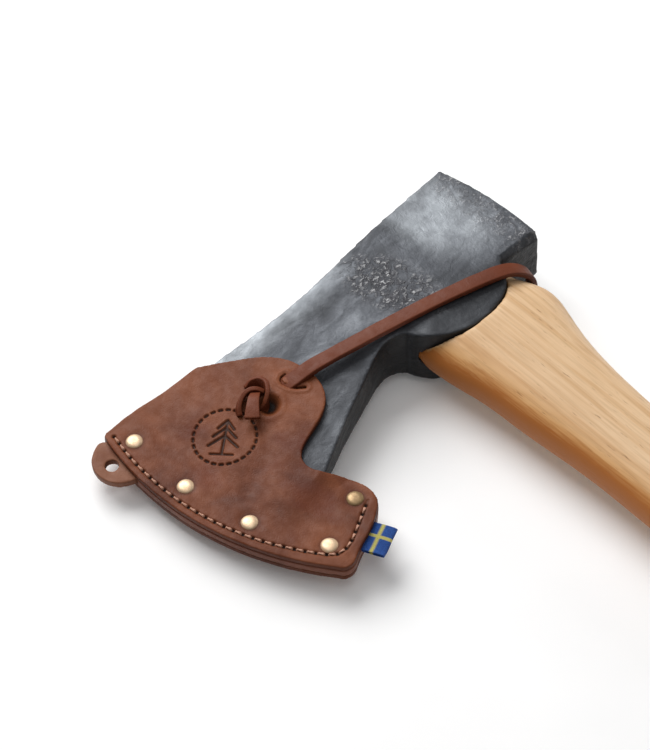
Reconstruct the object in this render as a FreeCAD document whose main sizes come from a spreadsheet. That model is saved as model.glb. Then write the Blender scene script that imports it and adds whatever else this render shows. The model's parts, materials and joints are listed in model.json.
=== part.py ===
"""Felling axe lying on its side, with a stitched leather edge sheath held on by a strap.

The axe is drawn in its own frame and then laid down. In that frame +X runs down the handle from
the head, +Y points to the poll (the hammer end), -Y points to the cutting edge, +Z is the upper
cheek, and the origin is the middle of the eye. REST at the end rolls the axe onto its cheek and
moves the origin to the middle of the footprint, on the surface the axe lies on.
"""

import FreeCAD
import Part
import Sketcher
import math
import os

V = FreeCAD.Vector

# name, millimetres or degrees, meaning
DIMENSIONS = [
    # forged head, seen from the side
    ("poll_top_x", -26.3, "poll corner nearest the top of the head"),
    ("poll_top_y", 43.4, "poll corner nearest the top of the head"),
    ("poll_low_x", 27.4, "poll corner nearest the handle"),
    ("poll_low_y", 48.7, "poll corner nearest the handle"),
    ("poll_crown_r", 155.0, "radius of the slightly domed poll face"),
    ("eye_floor_x", 25.4, "lower end of the eye"),
    ("lug_top_y", 26.0, "end of the lug at the poll side"),
    ("lug_low_y", -26.5, "end of the lug at the blade side"),
    ("lug_reach", 17.2, "how far the lugs reach down the handle"),
    ("poll_chamfer", 2.8, "chamfer along the poll's lower edges"),
    ("neck_top_x", -20.2, "top line at its narrowest"),
    ("neck_top_y", -42.0, "where the top line is narrowest"),
    ("neck_low_x", 22.5, "bottom line at its narrowest"),
    ("neck_low_y", -33.0, "where the bottom line is narrowest"),
    ("beard_x", 44.5, "a point halfway down the beard"),
    ("beard_y", -86.0, "a point halfway down the beard"),
    ("toe_x", -26.8, "upper corner of the cutting edge"),
    ("toe_y", -127.0, "upper corner of the cutting edge"),
    ("heel_x", 61.0, "lower corner of the cutting edge"),
    ("heel_y", -115.0, "lower corner of the cutting edge"),
    ("edge_r", 103.0, "radius of the curved cutting edge"),
    # forged head, thickness (all half thicknesses, from the mid plane)
    ("cheek_half", 16.5, "half thickness over the eye"),
    ("poll_half", 15.5, "half thickness at the poll"),
    ("poll_bevel", 1.6, "bevel round the poll face"),
    ("taper_y", -18.0, "where the cheeks start to taper to the blade"),
    ("taper_half", 15.4, "half thickness where the taper starts"),
    ("blade_end_half", 1.6, "half thickness of the taper carried on to the edge"),
    ("taper_r", 870.0, "radius of the hollow taper"),
    ("bevel_land", 0.15, "half thickness of the sharpened edge"),
    ("bevel_width", 33.0, "how far the sharpening bevel reaches"),
    ("bevel_rise", 5.3, "half thickness where the sharpening bevel starts"),
    ("lug_tip_half", 13.8, "half thickness at the lug's tip"),
    ("eye_half", 21.0, "half length of the eye's straight stretch"),
    ("eye_front_half", 5.5, "half width of the eye at its front"),
    ("eye_back_half", 6.5, "half width of the eye at its back"),
    ("eye_side_r", 50.0, "radius of the eye's long sides"),
    ("eye_front_r", 6.5, "radius of the eye's front end"),
    ("eye_back_r", 8.0, "radius of the eye's back end"),
    # handle
    ("tongue_play", 0.1, "gap between the handle's tongue and the eye"),
    ("tongue_top_x", -21.4, "where the tongue ends, a little proud of the head"),
    ("shoulder_gap", 0.5, "gap between the head and the handle's shoulder"),
    ("kerf_depth", 46.0, "depth of the saw cut for the wooden wedge"),
    ("kerf_mouth", 6.4, "width of the saw cut, spread by the wedge"),
    ("kerf_foot", 1.2, "width of the saw cut at its bottom"),
    ("steel_wedge_length", 16.0, "width of the steel wedge across the eye"),
    ("steel_wedge_depth", 18.0, "how far the steel wedge is driven in"),
    ("steel_wedge_thick", 2.6, "thickness of the steel wedge at its head"),
    ("handle_end_x", 668.0, "end of the handle"),
    ("foot_slant", 14.0, "slant of the handle's end face, in degrees"),
    # sheath
    ("leather", 2.6, "thickness of the sheath leather"),
    ("fold_x", -29.8, "outside of the fold along the top of the blade"),
    ("fold_r", 7.0, "radius inside the fold where it bulges over the blade's top line"),
    ("fold_inset", 9.8, "from the outside of the fold to the middle of its bulge"),
    ("fold_mid_z", 0.5, "height of the middle of the bulge above the mid plane"),
    ("toe_corner_r", 1.6, "radius of the sheath's corner at the toe"),
    ("heel_taper_x", 36.0, "where the sheath starts to thin towards the heel"),
    ("heel_taper_half", 8.8, "half thickness inside the sheath where it starts to thin"),
    ("heel_flat_x", 57.0, "where the sheath is down to the welt's thickness"),
    ("flat_y", -124.0, "where the sheath's lower border is down to the welt's thickness"),
    ("seam_gap", 0.6, "gap between the blade's edge and the joined layers"),
    ("welt", 3.4, "thickness of the welt and the hang tab"),
    ("welt_play", 0.05, "gap on each side of the welt"),
    ("border_r", 134.0, "radius of the sheath's lower border"),
    ("border_toe_y", -144.0, "sheath corner at the toe"),
    ("border_heel_x", 84.2, "sheath corner at the heel"),
    ("border_heel_y", -119.95, "sheath corner at the heel"),
    ("side_top_x", 71.8, "top of the stitched heel side"),
    ("side_top_y", -87.0, "top of the stitched heel side"),
    ("stitch_pitch", 4.3, "length of one stitch"),
    ("thread", 0.9, "diameter of the thread"),
    ("rivet_cap_r", 3.6, "radius of a rivet cap"),
    ("rivet_cap_h", 1.3, "height of a rivet cap"),
    ("rivet_post_r", 1.5, "radius of a rivet post"),
    ("rivet_play", 0.1, "gap between a post and its hole"),
    ("tab_x", -16.2, "middle of the hang tab"),
    ("tab_y", -145.2, "middle of the hang tab"),
    ("tab_r", 12.0, "radius of the hang tab"),
    ("tab_hole_y", -150.1, "middle of the hanging hole"),
    ("tab_hole_r", 2.75, "radius of the hanging hole"),
    ("label_x", 79.6, "middle of the woven label, on the border"),
    ("label_y", -101.1, "middle of the woven label, on the border"),
    ("label_turn", 24.0, "way the label points, in degrees"),
    ("label_width", 13.0, "length of the label along the border"),
    ("label_out", 10.0, "how far the label stands out"),
    ("label_in", 6.0, "how far the label is sewn in"),
    ("label_thick", 0.9, "thickness of the folded label"),
    # strap
    ("strap_x", 8.6, "where the strap leaves the sheath"),
    ("strap_y", -72.3, "where the strap leaves the sheath"),
    ("strap_lean", 14.0, "how far the strap leans off the head's axis, in degrees"),
    ("strap_width", 6.5, "width of the strap"),
    ("strap_thick", 2.5, "thickness of the strap"),
    ("strap_reach", 111.5, "from the strap's exit to the middle of its back run"),
    ("strap_corner_r", 10.0, "radius of the strap's turns behind the handle"),
    ("strap_gap", 0.25, "gap between the strap and the head's cheek"),
    ("exit_r", 5.3, "radius of the hole the strap leaves through"),
    ("knot_back", 13.8, "from the strap's exit back to the hole under its knot"),
    ("tuck_end", 16.3, "from the strap's exit back to the end of its run inside the sheath"),
    ("tuck_play", 0.12, "gap round the strap's run inside the sheath"),
    ("knot_height", 5.5, "height of the stop knot above the leather"),
    # how the axe lies
    ("rest_roll", 3.7, "roll onto the strap and the lower knot, in degrees"),
    ("rest_pitch", 0.3, "tilt down towards the handle's end, in degrees"),
]

# Stations down the handle: name, and x, middle in y, width in y, thickness in z
HANDLE_STATIONS = [
    ("shoulder", 24.0, 4.2, 57.6, 29.6),
    ("waist", 37.0, 4.6, 57.0, 29.4),
    ("swell", 47.0, 6.6, 59.6, 29.2),
    ("flare", 63.0, 6.0, 53.6, 28.4),
    ("throat", 83.0, 3.8, 47.2, 27.4),
    ("upper", 108.0, 3.0, 42.4, 26.0),
    ("belly", 160.0, 1.6, 39.0, 25.0),
    ("middle", 260.0, -2.0, 36.8, 24.4),
    ("lower", 380.0, -1.0, 35.8, 24.0),
    ("grip", 490.0, 6.0, 35.2, 23.6),
    ("wrist", 575.0, 10.0, 35.6, 23.8),
    ("heel_swell", 625.0, 6.0, 44.0, 26.5),
    ("foot", 672.0, -2.0, 58.0, 29.5),
]
HANDLE_SQUARENESS = 2.35
SECTION_POINTS = 20

# rivet number: x, y
RIVETS = [(-17.3, -137.0), (13.8, -136.9), (44.5, -130.4), (74.4, -115.5), (65.4, -93.2)]

# mouth of the sheath, from the top of the stitched side round the tongue to the fold
MOUTH = [
    (62.5, -86.4), (52.0, -91.6), (44.0, -96.6), (37.5, -95.8), (33.0, -89.0), (30.0, -79.5),
    (25.0, -71.0), (17.5, -66.8), (8.0, -66.2), (-1.0, -68.4), (-11.0, -75.8), (-18.6, -85.4),
    (-24.4, -92.6),
]

# sheath side between the heel corner and the mouth
SIDE = [(86.3, -118.2), (87.0, -115.4), (84.4, -109.2), (81.0, -101.0), (77.2, -93.4)]

# the blade's thickness as the leather follows it: y, half thickness inside the sheath
HUG = [(-116.0, 3.0), (-105.0, 4.0), (-96.0, 4.75), (-80.0, 6.45), (-60.0, 8.95)]
HUG_TOP = (-44.0, 11.2)

# how far cutting shapes reach past the leather
CUT_HEIGHT = 40.0
CUT_Y = -230.0
CUT_TOP = -80.0
CUT_HEEL = 150.0

# stitch line: along the lower border, then up the heel side
STITCH_BORDER = [(-25.0, -141.2), (-10.4, -143.6), (9.6, -144.0), (24.6, -142.2), (39.6, -138.6),
                 (54.6, -132.8), (69.6, -124.2), (80.6, -115.6)]
STITCH_SIDE = [(80.6, -115.6), (79.2, -108.4), (75.2, -100.6), (71.4, -93.6), (69.6, -90.4)]

DOC = FreeCAD.newDocument("felling_axe")
SHEET = DOC.addObject("Spreadsheet::Sheet", "dims")


class Size:
    """A number that also remembers the sheet formula it comes from."""

    def __init__(self, value, text=None):
        self.value = float(value)
        self.text = text or repr(float(value))

    def combined(self, other, sign, value):
        return Size(value, f"({self.text} {sign} {as_size(other).text})")

    def __add__(self, other):
        return self.combined(other, "+", self.value + float(other))

    def __sub__(self, other):
        return self.combined(other, "-", self.value - float(other))

    def __mul__(self, other):
        return self.combined(other, "*", self.value * float(other))

    def __truediv__(self, other):
        return self.combined(other, "/", self.value / float(other))

    def __neg__(self):
        return Size(-self.value, f"(-{self.text})")

    def __float__(self):
        return self.value


def as_size(number):
    return number if isinstance(number, Size) else Size(number)


class Dimensions:
    """The driving sizes, each one a cell of the sheet with an alias."""


def fill_sheet():
    dims = Dimensions()
    rows = [(name, value) for name, value, _ in DIMENSIONS]
    for name, *values in HANDLE_STATIONS:
        rows += [(f"{name}_{what}", v) for what, v in zip(("at", "mid", "wide", "deep"), values)]
    for n, place in enumerate(RIVETS, 1):
        rows += [(f"rivet_{n}_{axis}", v) for axis, v in zip(("across", "along"), place)]
    for row, (name, value) in enumerate(rows, 1):
        SHEET.set(f"A{row}", name)
        SHEET.set(f"B{row}", str(value))
        SHEET.setAlias(f"B{row}", name)
        setattr(dims, name, Size(value, f"dims.{name}"))
    DOC.recompute()
    return dims


D = fill_sheet()


# ---------------------------------------------------------------- modelling helpers


def bind(thing, path, size):
    thing.setExpression(path, as_size(size).text)


def new_body(label):
    body = DOC.addObject("PartDesign::Body", label)
    body.Label = label
    return body


def plane_of(body, role):
    return next(o for o in body.Origin.OriginFeatures if o.Role == role)


def new_sketch(body, role, offset=None):
    sketch = body.newObject("Sketcher::SketchObject", body.Name + "_sketch")
    sketch.AttachmentSupport = [(plane_of(body, role), "")]
    sketch.MapMode = "FlatFace"
    if offset:
        for axis, size in zip("xyz", offset):
            bind(sketch, f"AttachmentOffset.Base.{axis}", size)
    DOC.recompute()
    return sketch


def arc_between(start, end, radius):
    """An arc from start to end; it bulges to the left of the way there if radius is positive."""
    chord = end - start
    half = chord.Length / 2
    rise = abs(radius) - math.sqrt(radius * radius - half * half)
    left = V(-chord.y, chord.x, 0).normalize()
    middle = (start + end) * 0.5 + left * math.copysign(rise, radius)
    return Part.Arc(start, middle, end)


def outline(sketch, corners):
    """Draws a closed outline. A corner is (x, y), (x, y, radius) to leave it along an arc, or
    (x, y, [points]) to leave it along a smooth curve through those points."""
    points = [V(float(c[0]), float(c[1]), 0) for c in corners]
    ends = []
    for n, corner in enumerate(corners):
        start, end = points[n], points[(n + 1) % len(points)]
        way = corner[2] if len(corner) > 2 else None
        swapped = False
        if way is None:
            curve = Part.LineSegment(start, end)
        elif isinstance(way, list):
            curve = Part.BSplineCurve()
            curve.interpolate([start] + [V(float(x), float(y), 0) for x, y in way] + [end])
        else:
            curve = arc_between(start, end, float(way))
        number = sketch.addGeometry(curve, False)
        if way is not None and not isinstance(way, list):
            swapped = (sketch.getPoint(number, 1) - start).Length > 1e-6
            radius = sketch.addConstraint(Sketcher.Constraint("Radius", number, abs(float(way))))
            drive(sketch, radius, way if float(way) > 0 else -as_size(way))
        ends.append((number, (2, 1) if swapped else (1, 2)))
    for n, (number, (first, last)) in enumerate(ends):
        after, (after_first, _) = ends[(n + 1) % len(ends)]
        sketch.addConstraint(Sketcher.Constraint("Coincident", number, last, after, after_first))
        for axis, kind in ((0, "DistanceX"), (1, "DistanceY")):
            size = as_size(corners[n][axis])
            made = sketch.addConstraint(
                Sketcher.Constraint(kind, -1, 1, number, first, float(size))
            )
            drive(sketch, made, size)


def drive(sketch, constraint, size):
    """Lets a sheet formula set a constraint; plain numbers stay as they are."""
    size = as_size(size)
    if "dims." in size.text:
        name = f"size_{constraint}"
        sketch.renameConstraint(constraint, name)
        sketch.setExpression(f"Constraints.{name}", size.text)


def mirrored(corners):
    """The same corners on the other side of the sketch's horizontal axis."""
    made = []
    for x, y, *way in corners:
        if way and isinstance(way[0], list):
            way = [[(through_x, -through_y) for through_x, through_y in way[0]]]
        elif way:
            way = [-as_size(way[0])]
        made.append((x, -as_size(y), *way))
    return made


def pad(body, sketch, length):
    feature = body.newObject("PartDesign::Pad", body.Name + "_pad")
    feature.Profile = sketch
    feature.Midplane = True
    bind(feature, "Length", length)
    DOC.recompute()
    return feature


def pad_from(body, sketch, length, reversed_way=False):
    feature = body.newObject("PartDesign::Pad", body.Name + "_pad")
    feature.Profile = sketch
    feature.Reversed = reversed_way
    bind(feature, "Length", length)
    DOC.recompute()
    return feature


def pocket(body, sketch, length=400.0):
    """Cuts the sketch out of the body, the same way both sides of the sketch."""
    before = body.Shape.Volume
    feature = body.newObject("PartDesign::Pocket", body.Name + "_pocket")
    feature.Profile = sketch
    feature.Midplane = True
    bind(feature, "Length", length)
    DOC.recompute()
    if body.Shape.Volume > before - 1.0:
        raise RuntimeError(f"{feature.Name} cuts nothing")
    return feature


def prism(label, role, corners, length):
    body = new_body(label)
    sketch = new_sketch(body, role)
    outline(sketch, corners)
    pad(body, sketch, length)
    return body


def boolean(kind, label, base, tool):
    made = DOC.addObject(f"Part::{kind}", label)
    made.Label = label
    made.Base, made.Tool = base, tool
    DOC.recompute()
    return made


def feature_of(label, shape):
    made = DOC.addObject("Part::Feature", label)
    made.Label = label
    made.Shape = shape
    return made


# ---------------------------------------------------------------- axe


def eye_outline(play):
    """The eye, seen down the handle, drawn play smaller all round."""
    reach = D.eye_half - play
    front, back = D.eye_front_half - play, D.eye_back_half - play
    return [
        (-reach, -front, -D.eye_side_r),
        (reach, -back, -D.eye_back_r),
        (reach, back, -D.eye_side_r),
        (-reach, front, -D.eye_front_r),
    ]


def head_side():
    """The head seen from its cheek."""
    return [
        (D.poll_top_x, D.poll_top_y, D.poll_crown_r),
        (D.poll_low_x, D.poll_low_y),
        *lug_outline(0.0),
        (D.heel_x, D.heel_y, D.edge_r),
        (D.toe_x, D.toe_y, [(-25.2, -104.0), (-23.0, -80.0), (-21.0, -58.0),
                            (D.neck_top_x, D.neck_top_y), (-20.6, -26.0), (-22.6, 0.0)]),
    ]


def lug_outline(gap):
    """The lug and the beard below it; the handle is cut to the same line, gap further out."""
    reach = float(D.eye_floor_x + D.lug_reach) + gap
    lug = [(reach - 6.6, 21.0), (reach - 2.9, 15.6), (reach - 1.0, 9.0), (reach - 0.2, 2.0),
           (reach - 0.8, -5.5), (reach - 3.0, -12.5), (reach - 6.6, -18.8), (reach - 11.0, -23.4)]
    return [
        (D.eye_floor_x + gap + 0.8, D.lug_top_y, lug),
        (D.eye_floor_x + gap, D.lug_low_y, [(D.neck_low_x, D.neck_low_y), (27.0, -49.0),
                                            (35.0, -67.0), (D.beard_x, D.beard_y),
                                            (52.5, -101.0)]),
    ]


def make_head():
    body = new_body("axe_head")
    side = new_sketch(body, "XY_Plane")
    outline(side, head_side())
    pad(body, side, D.cheek_half * 2)

    outside = 30.0
    over_cheek = [
        (60.0, D.poll_half - D.poll_bevel * 2),
        (60.0, outside),
        (-150.0, outside),
        (-150.0, D.blade_end_half),
        (-132.0, D.blade_end_half, -D.taper_r),
        (D.taper_y, D.taper_half),
        (0.0, D.cheek_half),
        (D.poll_low_y - D.poll_bevel, D.poll_half),
    ]
    cheeks = new_sketch(body, "YZ_Plane")
    outline(cheeks, over_cheek)
    outline(cheeks, mirrored(over_cheek))
    pocket(body, cheeks)

    over_lug = [
        (D.eye_floor_x, D.cheek_half + 1.0),
        (D.eye_floor_x, D.cheek_half - 0.3),
        (D.eye_floor_x + D.lug_reach, D.lug_tip_half),
        (110.0, D.lug_tip_half),
        (110.0, D.cheek_half + 1.0),
    ]
    lugs = new_sketch(body, "XZ_Plane")
    outline(lugs, over_lug)
    outline(lugs, mirrored(over_lug))
    pocket(body, lugs)
    return body


def bevel_edge(body):
    """Grinds the blade to its curved edge: a cone round the middle of the edge's arc."""
    toe, heel = V(float(D.toe_x), float(D.toe_y), 0), V(float(D.heel_x), float(D.heel_y), 0)
    arc = arc_between(toe, heel, -float(D.edge_r)).toShape().Curve
    sketch = new_sketch(body, "YZ_Plane", (arc.Center.y, 0.0, arc.Center.x))
    reach = -D.edge_r
    over_bevel = [
        (reach - 8.0, 0.02),
        (reach - 0.5, 0.02),
        (reach, D.bevel_land),
        (reach + D.bevel_width, D.bevel_rise),
        (reach + D.bevel_width, 25.0),
        (reach - 8.0, 25.0),
    ]
    outline(sketch, over_bevel)
    outline(sketch, mirrored(over_bevel))
    before = body.Shape.Volume
    groove = body.newObject("PartDesign::Groove", "edge_bevel")
    groove.Profile = sketch
    groove.ReferenceAxis = (sketch, ["V_Axis"])
    groove.Midplane = True
    groove.Angle = 130.0
    DOC.recompute()
    if body.Shape.Volume > before - 1.0:
        raise RuntimeError("the bevel cuts nothing")


def chamfer_poll(body):
    """Breaks the two long edges of the poll on the handle side, clear of the lugs."""
    start, end = D.lug_top_y + 1.0, D.poll_low_y + 6.0
    sketch = new_sketch(body, "XZ_Plane", (0.0, 0.0, -(start + end) / 2))
    over = [
        (D.poll_low_x - D.poll_chamfer, D.cheek_half),
        (D.poll_low_x + 1.0, D.cheek_half),
        (D.poll_low_x + 1.0, D.cheek_half - D.poll_chamfer * 2.8),
    ]
    outline(sketch, over)
    outline(sketch, mirrored(over))
    pocket(body, sketch, end - start)


def cut_eye(body):
    sketch = new_sketch(body, "YZ_Plane")
    outline(sketch, eye_outline(0.0))
    pocket(body, sketch)


def section(name, station, mid, wide, deep):
    """One oval cross-section of the handle, flatter than an ellipse."""
    power = 2.0 / HANDLE_SQUARENESS
    points = []
    for n in range(SECTION_POINTS):
        turn = 2 * math.pi * n / SECTION_POINTS
        c, s = math.cos(turn), math.sin(turn)
        points.append(V(
            float(station),
            float(mid) + float(wide) / 2 * math.copysign(abs(c) ** power, c),
            float(deep) / 2 * math.copysign(abs(s) ** power, s),
        ))
    curve = Part.BSplineCurve()
    curve.interpolate(points, PeriodicFlag=True)
    return feature_of(name, Part.Wire([curve.toShape()]))


def make_handle():
    sections = []
    for name, *_ in HANDLE_STATIONS:
        sizes = [getattr(D, f"{name}_{what}") for what in ("at", "mid", "wide", "deep")]
        sections.append(section(f"section_{name}", *sizes))
    stick = DOC.addObject("Part::Loft", "handle_stick")
    stick.Sections, stick.Solid = sections, True
    DOC.recompute()

    far = 80.0
    gap = D.shoulder_gap
    relief = prism("head_relief", "XY_Plane", [
        (-far, -far),
        (D.eye_floor_x + gap, -far),
        (D.eye_floor_x + gap, D.lug_low_y, list(reversed(lug_outline(float(gap))[0][2]))),
        (D.eye_floor_x + gap + 0.8, D.lug_top_y),
        (D.poll_low_x + gap + 0.4, D.poll_low_y),
        (D.poll_low_x + gap + 0.4, far),
        (-far, far),
    ], 100.0)
    shouldered = boolean("Cut", "handle_shouldered", stick, relief)

    tongue = new_body("handle_tongue")
    sketch = new_sketch(tongue, "YZ_Plane", (0.0, 0.0, D.tongue_top_x))
    outline(sketch, eye_outline(D.tongue_play))
    pad_from(tongue, sketch, D.eye_floor_x + D.lug_reach - D.tongue_top_x)
    joined = boolean("Fuse", "handle_joined", shouldered, tongue)

    end = DOC.addObject("Part::Box", "end_trim")
    for axis in ("Length", "Width", "Height"):
        setattr(end, axis, 200.0)
    end.Placement = FreeCAD.Placement(
        V(float(D.handle_end_x), -100.0, -100.0),
        FreeCAD.Rotation(V(0, 0, 1), -float(D.foot_slant)),
        V(0, 100.0, 0),
    )
    trimmed = boolean("Cut", "handle_trimmed", joined, end)
    kerfed = boolean("Cut", "handle_kerfed", trimmed, kerf("kerf", 0.0))
    return boolean("Cut", "handle", kerfed, steel_slot("steel_slot"))


def kerf(label, play):
    """The tapered saw cut in the top of the tongue, or the wedge that fills it."""
    mouth, foot = D.kerf_mouth / 2 - play, D.kerf_foot / 2 - play
    return tapered(label, "XZ_Plane", mouth, foot, D.kerf_depth, play, D.eye_half * 2 + 3.0)


def steel_slot(label, play=0.0):
    """The slot across the tongue for the steel wedge, or the wedge that fills it."""
    head = D.steel_wedge_thick / 2 - play
    length = D.steel_wedge_length - play * 2
    return tapered(label, "XY_Plane", head, head * 0.3, D.steel_wedge_depth, play, length)


def tapered(label, role, mouth, foot, depth, play, length):
    """A wedge shape from the top of the tongue down; a cut starts above the top, clear of it."""
    top, tip = D.tongue_top_x, D.tongue_top_x + depth - play * 4
    corners = [(top, -mouth), (tip, -foot), (tip, foot), (top, mouth)]
    if play == 0.0:
        corners += [(top - 5.0, mouth), (top - 5.0, -mouth)]
    return prism(label, role, corners, length)


def make_wedges():
    wood = kerf("wood_wedge_blank", 0.05)
    wood = boolean("Cut", "wood_wedge", wood, steel_slot("wedge_slot"))
    steel = steel_slot("steel_wedge", 0.05)
    steel.Label = "steel_wedge"
    return wood, steel


# ---------------------------------------------------------------- sheath


def sheath_outline():
    corner = D.toe_corner_r
    return [
        (D.fold_x + corner, D.border_toe_y, -D.border_r),
        (D.border_heel_x, D.border_heel_y, SIDE),
        (D.side_top_x, D.side_top_y, MOUTH),
        (D.fold_x, MOUTH[-1][1] - 6.0),
        (D.fold_x, D.border_toe_y + corner, corner),
    ]


def layer_half():
    """Half of the gap between the two leather layers where the welt fills it."""
    return D.welt / 2 + D.welt_play


def hug_blade(body, leather):
    """Thins a slab so that it follows the blade on both sides, leather away from the pocket."""
    low = layer_half() + leather
    over = [
        (CUT_Y, low),
        (D.flat_y, low, [(y, z + float(leather)) for y, z in HUG]),
        (HUG_TOP[0], as_size(HUG_TOP[1]) + leather),
        (10.0, CUT_HEIGHT),
        (CUT_Y, CUT_HEIGHT),
    ]
    sketch = new_sketch(body, "YZ_Plane")
    outline(sketch, over)
    outline(sketch, mirrored(over))
    pocket(body, sketch)

    middle = D.fold_x + D.fold_inset
    radius = D.fold_r + leather
    left = middle - radius
    over_fold = [
        (CUT_TOP, 0.02),
        (left, 0.02),
        (left, D.fold_mid_z, radius),
        (middle, radius + D.fold_mid_z),
        (middle, CUT_HEIGHT),
        (CUT_TOP, CUT_HEIGHT),
    ]
    over_heel = [
        (D.heel_taper_x, D.heel_taper_half + leather),
        (D.heel_flat_x, low),
        (CUT_HEEL, low),
        (CUT_HEEL, CUT_HEIGHT),
        (D.heel_taper_x, CUT_HEIGHT),
    ]
    for over in (over_fold, over_heel):
        sketch = new_sketch(body, "XZ_Plane")
        outline(sketch, over)
        outline(sketch, mirrored(over))
        pocket(body, sketch)
    return body


def make_pocket_space():
    space = prism("pocket_space", "XY_Plane", [
        (D.fold_x + D.leather, -175.0),
        (140.0, -175.0),
        (140.0, 8.0),
        (D.fold_x + D.leather, 8.0),
    ], 60.0)
    return hug_blade(space, as_size(0.0))


def strap_place():
    turn = FreeCAD.Rotation(V(0, 0, 1), -float(D.strap_lean))
    return FreeCAD.Placement(V(float(D.strap_x), float(D.strap_y), 0), turn)


def strap_body(label):
    body = new_body(label)
    body.Placement = strap_place()
    return body


def strap_under(play):
    """The skived run of the strap between the blade and the leather, upper side."""
    return [
        (-D.tuck_end - play, 5.25 - float(play)),
        (-4.0, 6.75 - float(play)),
        (-4.0, 8.1 + float(play)),
        (-D.tuck_end - play, 6.65 + float(play)),
    ]


def make_leather():
    slab = prism("leather_slab", "XY_Plane", sheath_outline(), 60.0)
    hug_blade(slab, D.leather)
    folded = boolean("Cut", "leather_folded", slab, make_pocket_space())

    ridge = strap_body("strap_ridge")
    sketch = new_sketch(ridge, "YZ_Plane")
    over = [(-14.0, 7.6), (-12.0, 9.8), (-4.5, 10.7), (-2.5, 9.4), (-4.0, 8.6), (-13.0, 7.6)]
    outline(sketch, over)
    outline(sketch, mirrored(over))
    pad(ridge, sketch, D.strap_width + 2.0)
    raised = boolean("Fuse", "leather_raised", folded, ridge)

    tools = []
    for n in range(1, len(RIVETS) + 1):
        x, y = getattr(D, f"rivet_{n}_across"), getattr(D, f"rivet_{n}_along")
        tools.append(cylinder(f"rivet_hole_{n}", x, y, D.rivet_post_r + D.rivet_play, -20.0, 40.0))
    for n, along in enumerate((0.0, -float(D.knot_back))):
        place = strap_place().multVec(V(0, along, 0))
        tools.append(cylinder(f"strap_hole_{n}", place.x, place.y, D.exit_r, -30.0, 60.0))
    channel = strap_body("strap_channel")
    sketch = new_sketch(channel, "YZ_Plane")
    outline(sketch, strap_under(D.tuck_play))
    outline(sketch, mirrored(strap_under(D.tuck_play)))
    pad(channel, sketch, D.strap_width + 0.4)
    tools.append(channel)
    cutters = DOC.addObject("Part::MultiFuse", "leather_cutters")
    cutters.Shapes = tools
    DOC.recompute()
    return boolean("Cut", "sheath_leather", raised, cutters)


def cylinder(label, x, y, radius, z, height):
    made = DOC.addObject("Part::Cylinder", label)
    made.Label = label
    bind(made, "Radius", radius)
    bind(made, "Height", height)
    for axis, size in zip("xyz", (x, y, z)):
        bind(made, f"Placement.Base.{axis}", size)
    DOC.recompute()
    return made


def seam_inner(reach):
    """Where the layers start to be joined, just outside the blade's curved edge."""
    toe, heel = V(float(D.toe_x), float(D.toe_y), 0), V(float(D.heel_x), float(D.heel_y), 0)
    middle = arc_between(toe, heel, -float(D.edge_r)).toShape().Curve.Center
    radius = float(D.edge_r + D.seam_gap)
    return middle.y - math.sqrt(radius * radius - (reach - middle.x) ** 2), radius


def make_welt():
    blank = prism("welt_blank", "XY_Plane", sheath_outline(), D.welt)
    start_x = float(D.tab_x + D.tab_r) + 0.5
    end_x = float(D.heel_x) + 0.5
    start_y, radius = seam_inner(start_x)
    end_y, _ = seam_inner(end_x)
    inner = prism("welt_inner", "XY_Plane", [
        (start_x, -220.0),
        (start_x, start_y, -radius),
        (end_x, end_y),
        (end_x + 0.3, -20.0),
        (-80.0, -20.0),
        (-80.0, -220.0),
    ], 20.0)
    trimmed = boolean("Cut", "welt_trimmed", blank, inner)
    return cut_seam(trimmed, "welt", [2, 3, 4, 5], label_blank("label_notch", 0.05))


def cut_seam(blank, label, rivets, *more):
    tools = list(more)
    for n in rivets:
        x, y = getattr(D, f"rivet_{n}_across"), getattr(D, f"rivet_{n}_along")
        tools.append(cylinder(f"{label}_hole_{n}", x, y, D.rivet_post_r + D.rivet_play, -9.0, 18.0))
    cutters = DOC.addObject("Part::MultiFuse", f"{label}_cutters")
    cutters.Shapes = tools
    DOC.recompute()
    return boolean("Cut", label, blank, cutters)


def make_tab():
    left, right = D.fold_x + D.leather + 0.3, D.tab_x + D.tab_r
    left_y, radius = seam_inner(float(left))
    right_y, _ = seam_inner(float(right))
    x, y, r = float(D.tab_x), float(D.tab_y), float(D.tab_r)
    turns = [math.radians(angle) for angle in (184, 204, 228, 252, 276, 300, 324, 344)]
    blank = prism("tab_blank", "XY_Plane", [
        (left, D.border_toe_y - 0.6, [(x + r * math.cos(a), y + r * math.sin(a)) for a in turns]),
        (right, D.tab_y),
        (right, right_y, radius),
        (left, left_y),
    ], D.welt)
    hole = cylinder("tab_hole", D.tab_x, D.tab_hole_y, D.tab_hole_r, -9.0, 18.0)
    return cut_seam(blank, "hang_tab", [1], hole)


def label_blank(label, play):
    half = D.label_width / 2 + play
    body = prism(label, "XY_Plane", [
        (-D.label_in - play, -half),
        (D.label_out, -half),
        (D.label_out, half),
        (-D.label_in - play, half),
    ], D.label_thick + play * 2)
    turn = FreeCAD.Rotation(V(0, 0, 1), float(D.label_turn))
    lift = float(D.welt / 2 - D.label_thick / 2)
    body.Placement = FreeCAD.Placement(V(float(D.label_x), float(D.label_y), lift), turn)
    return body


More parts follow.
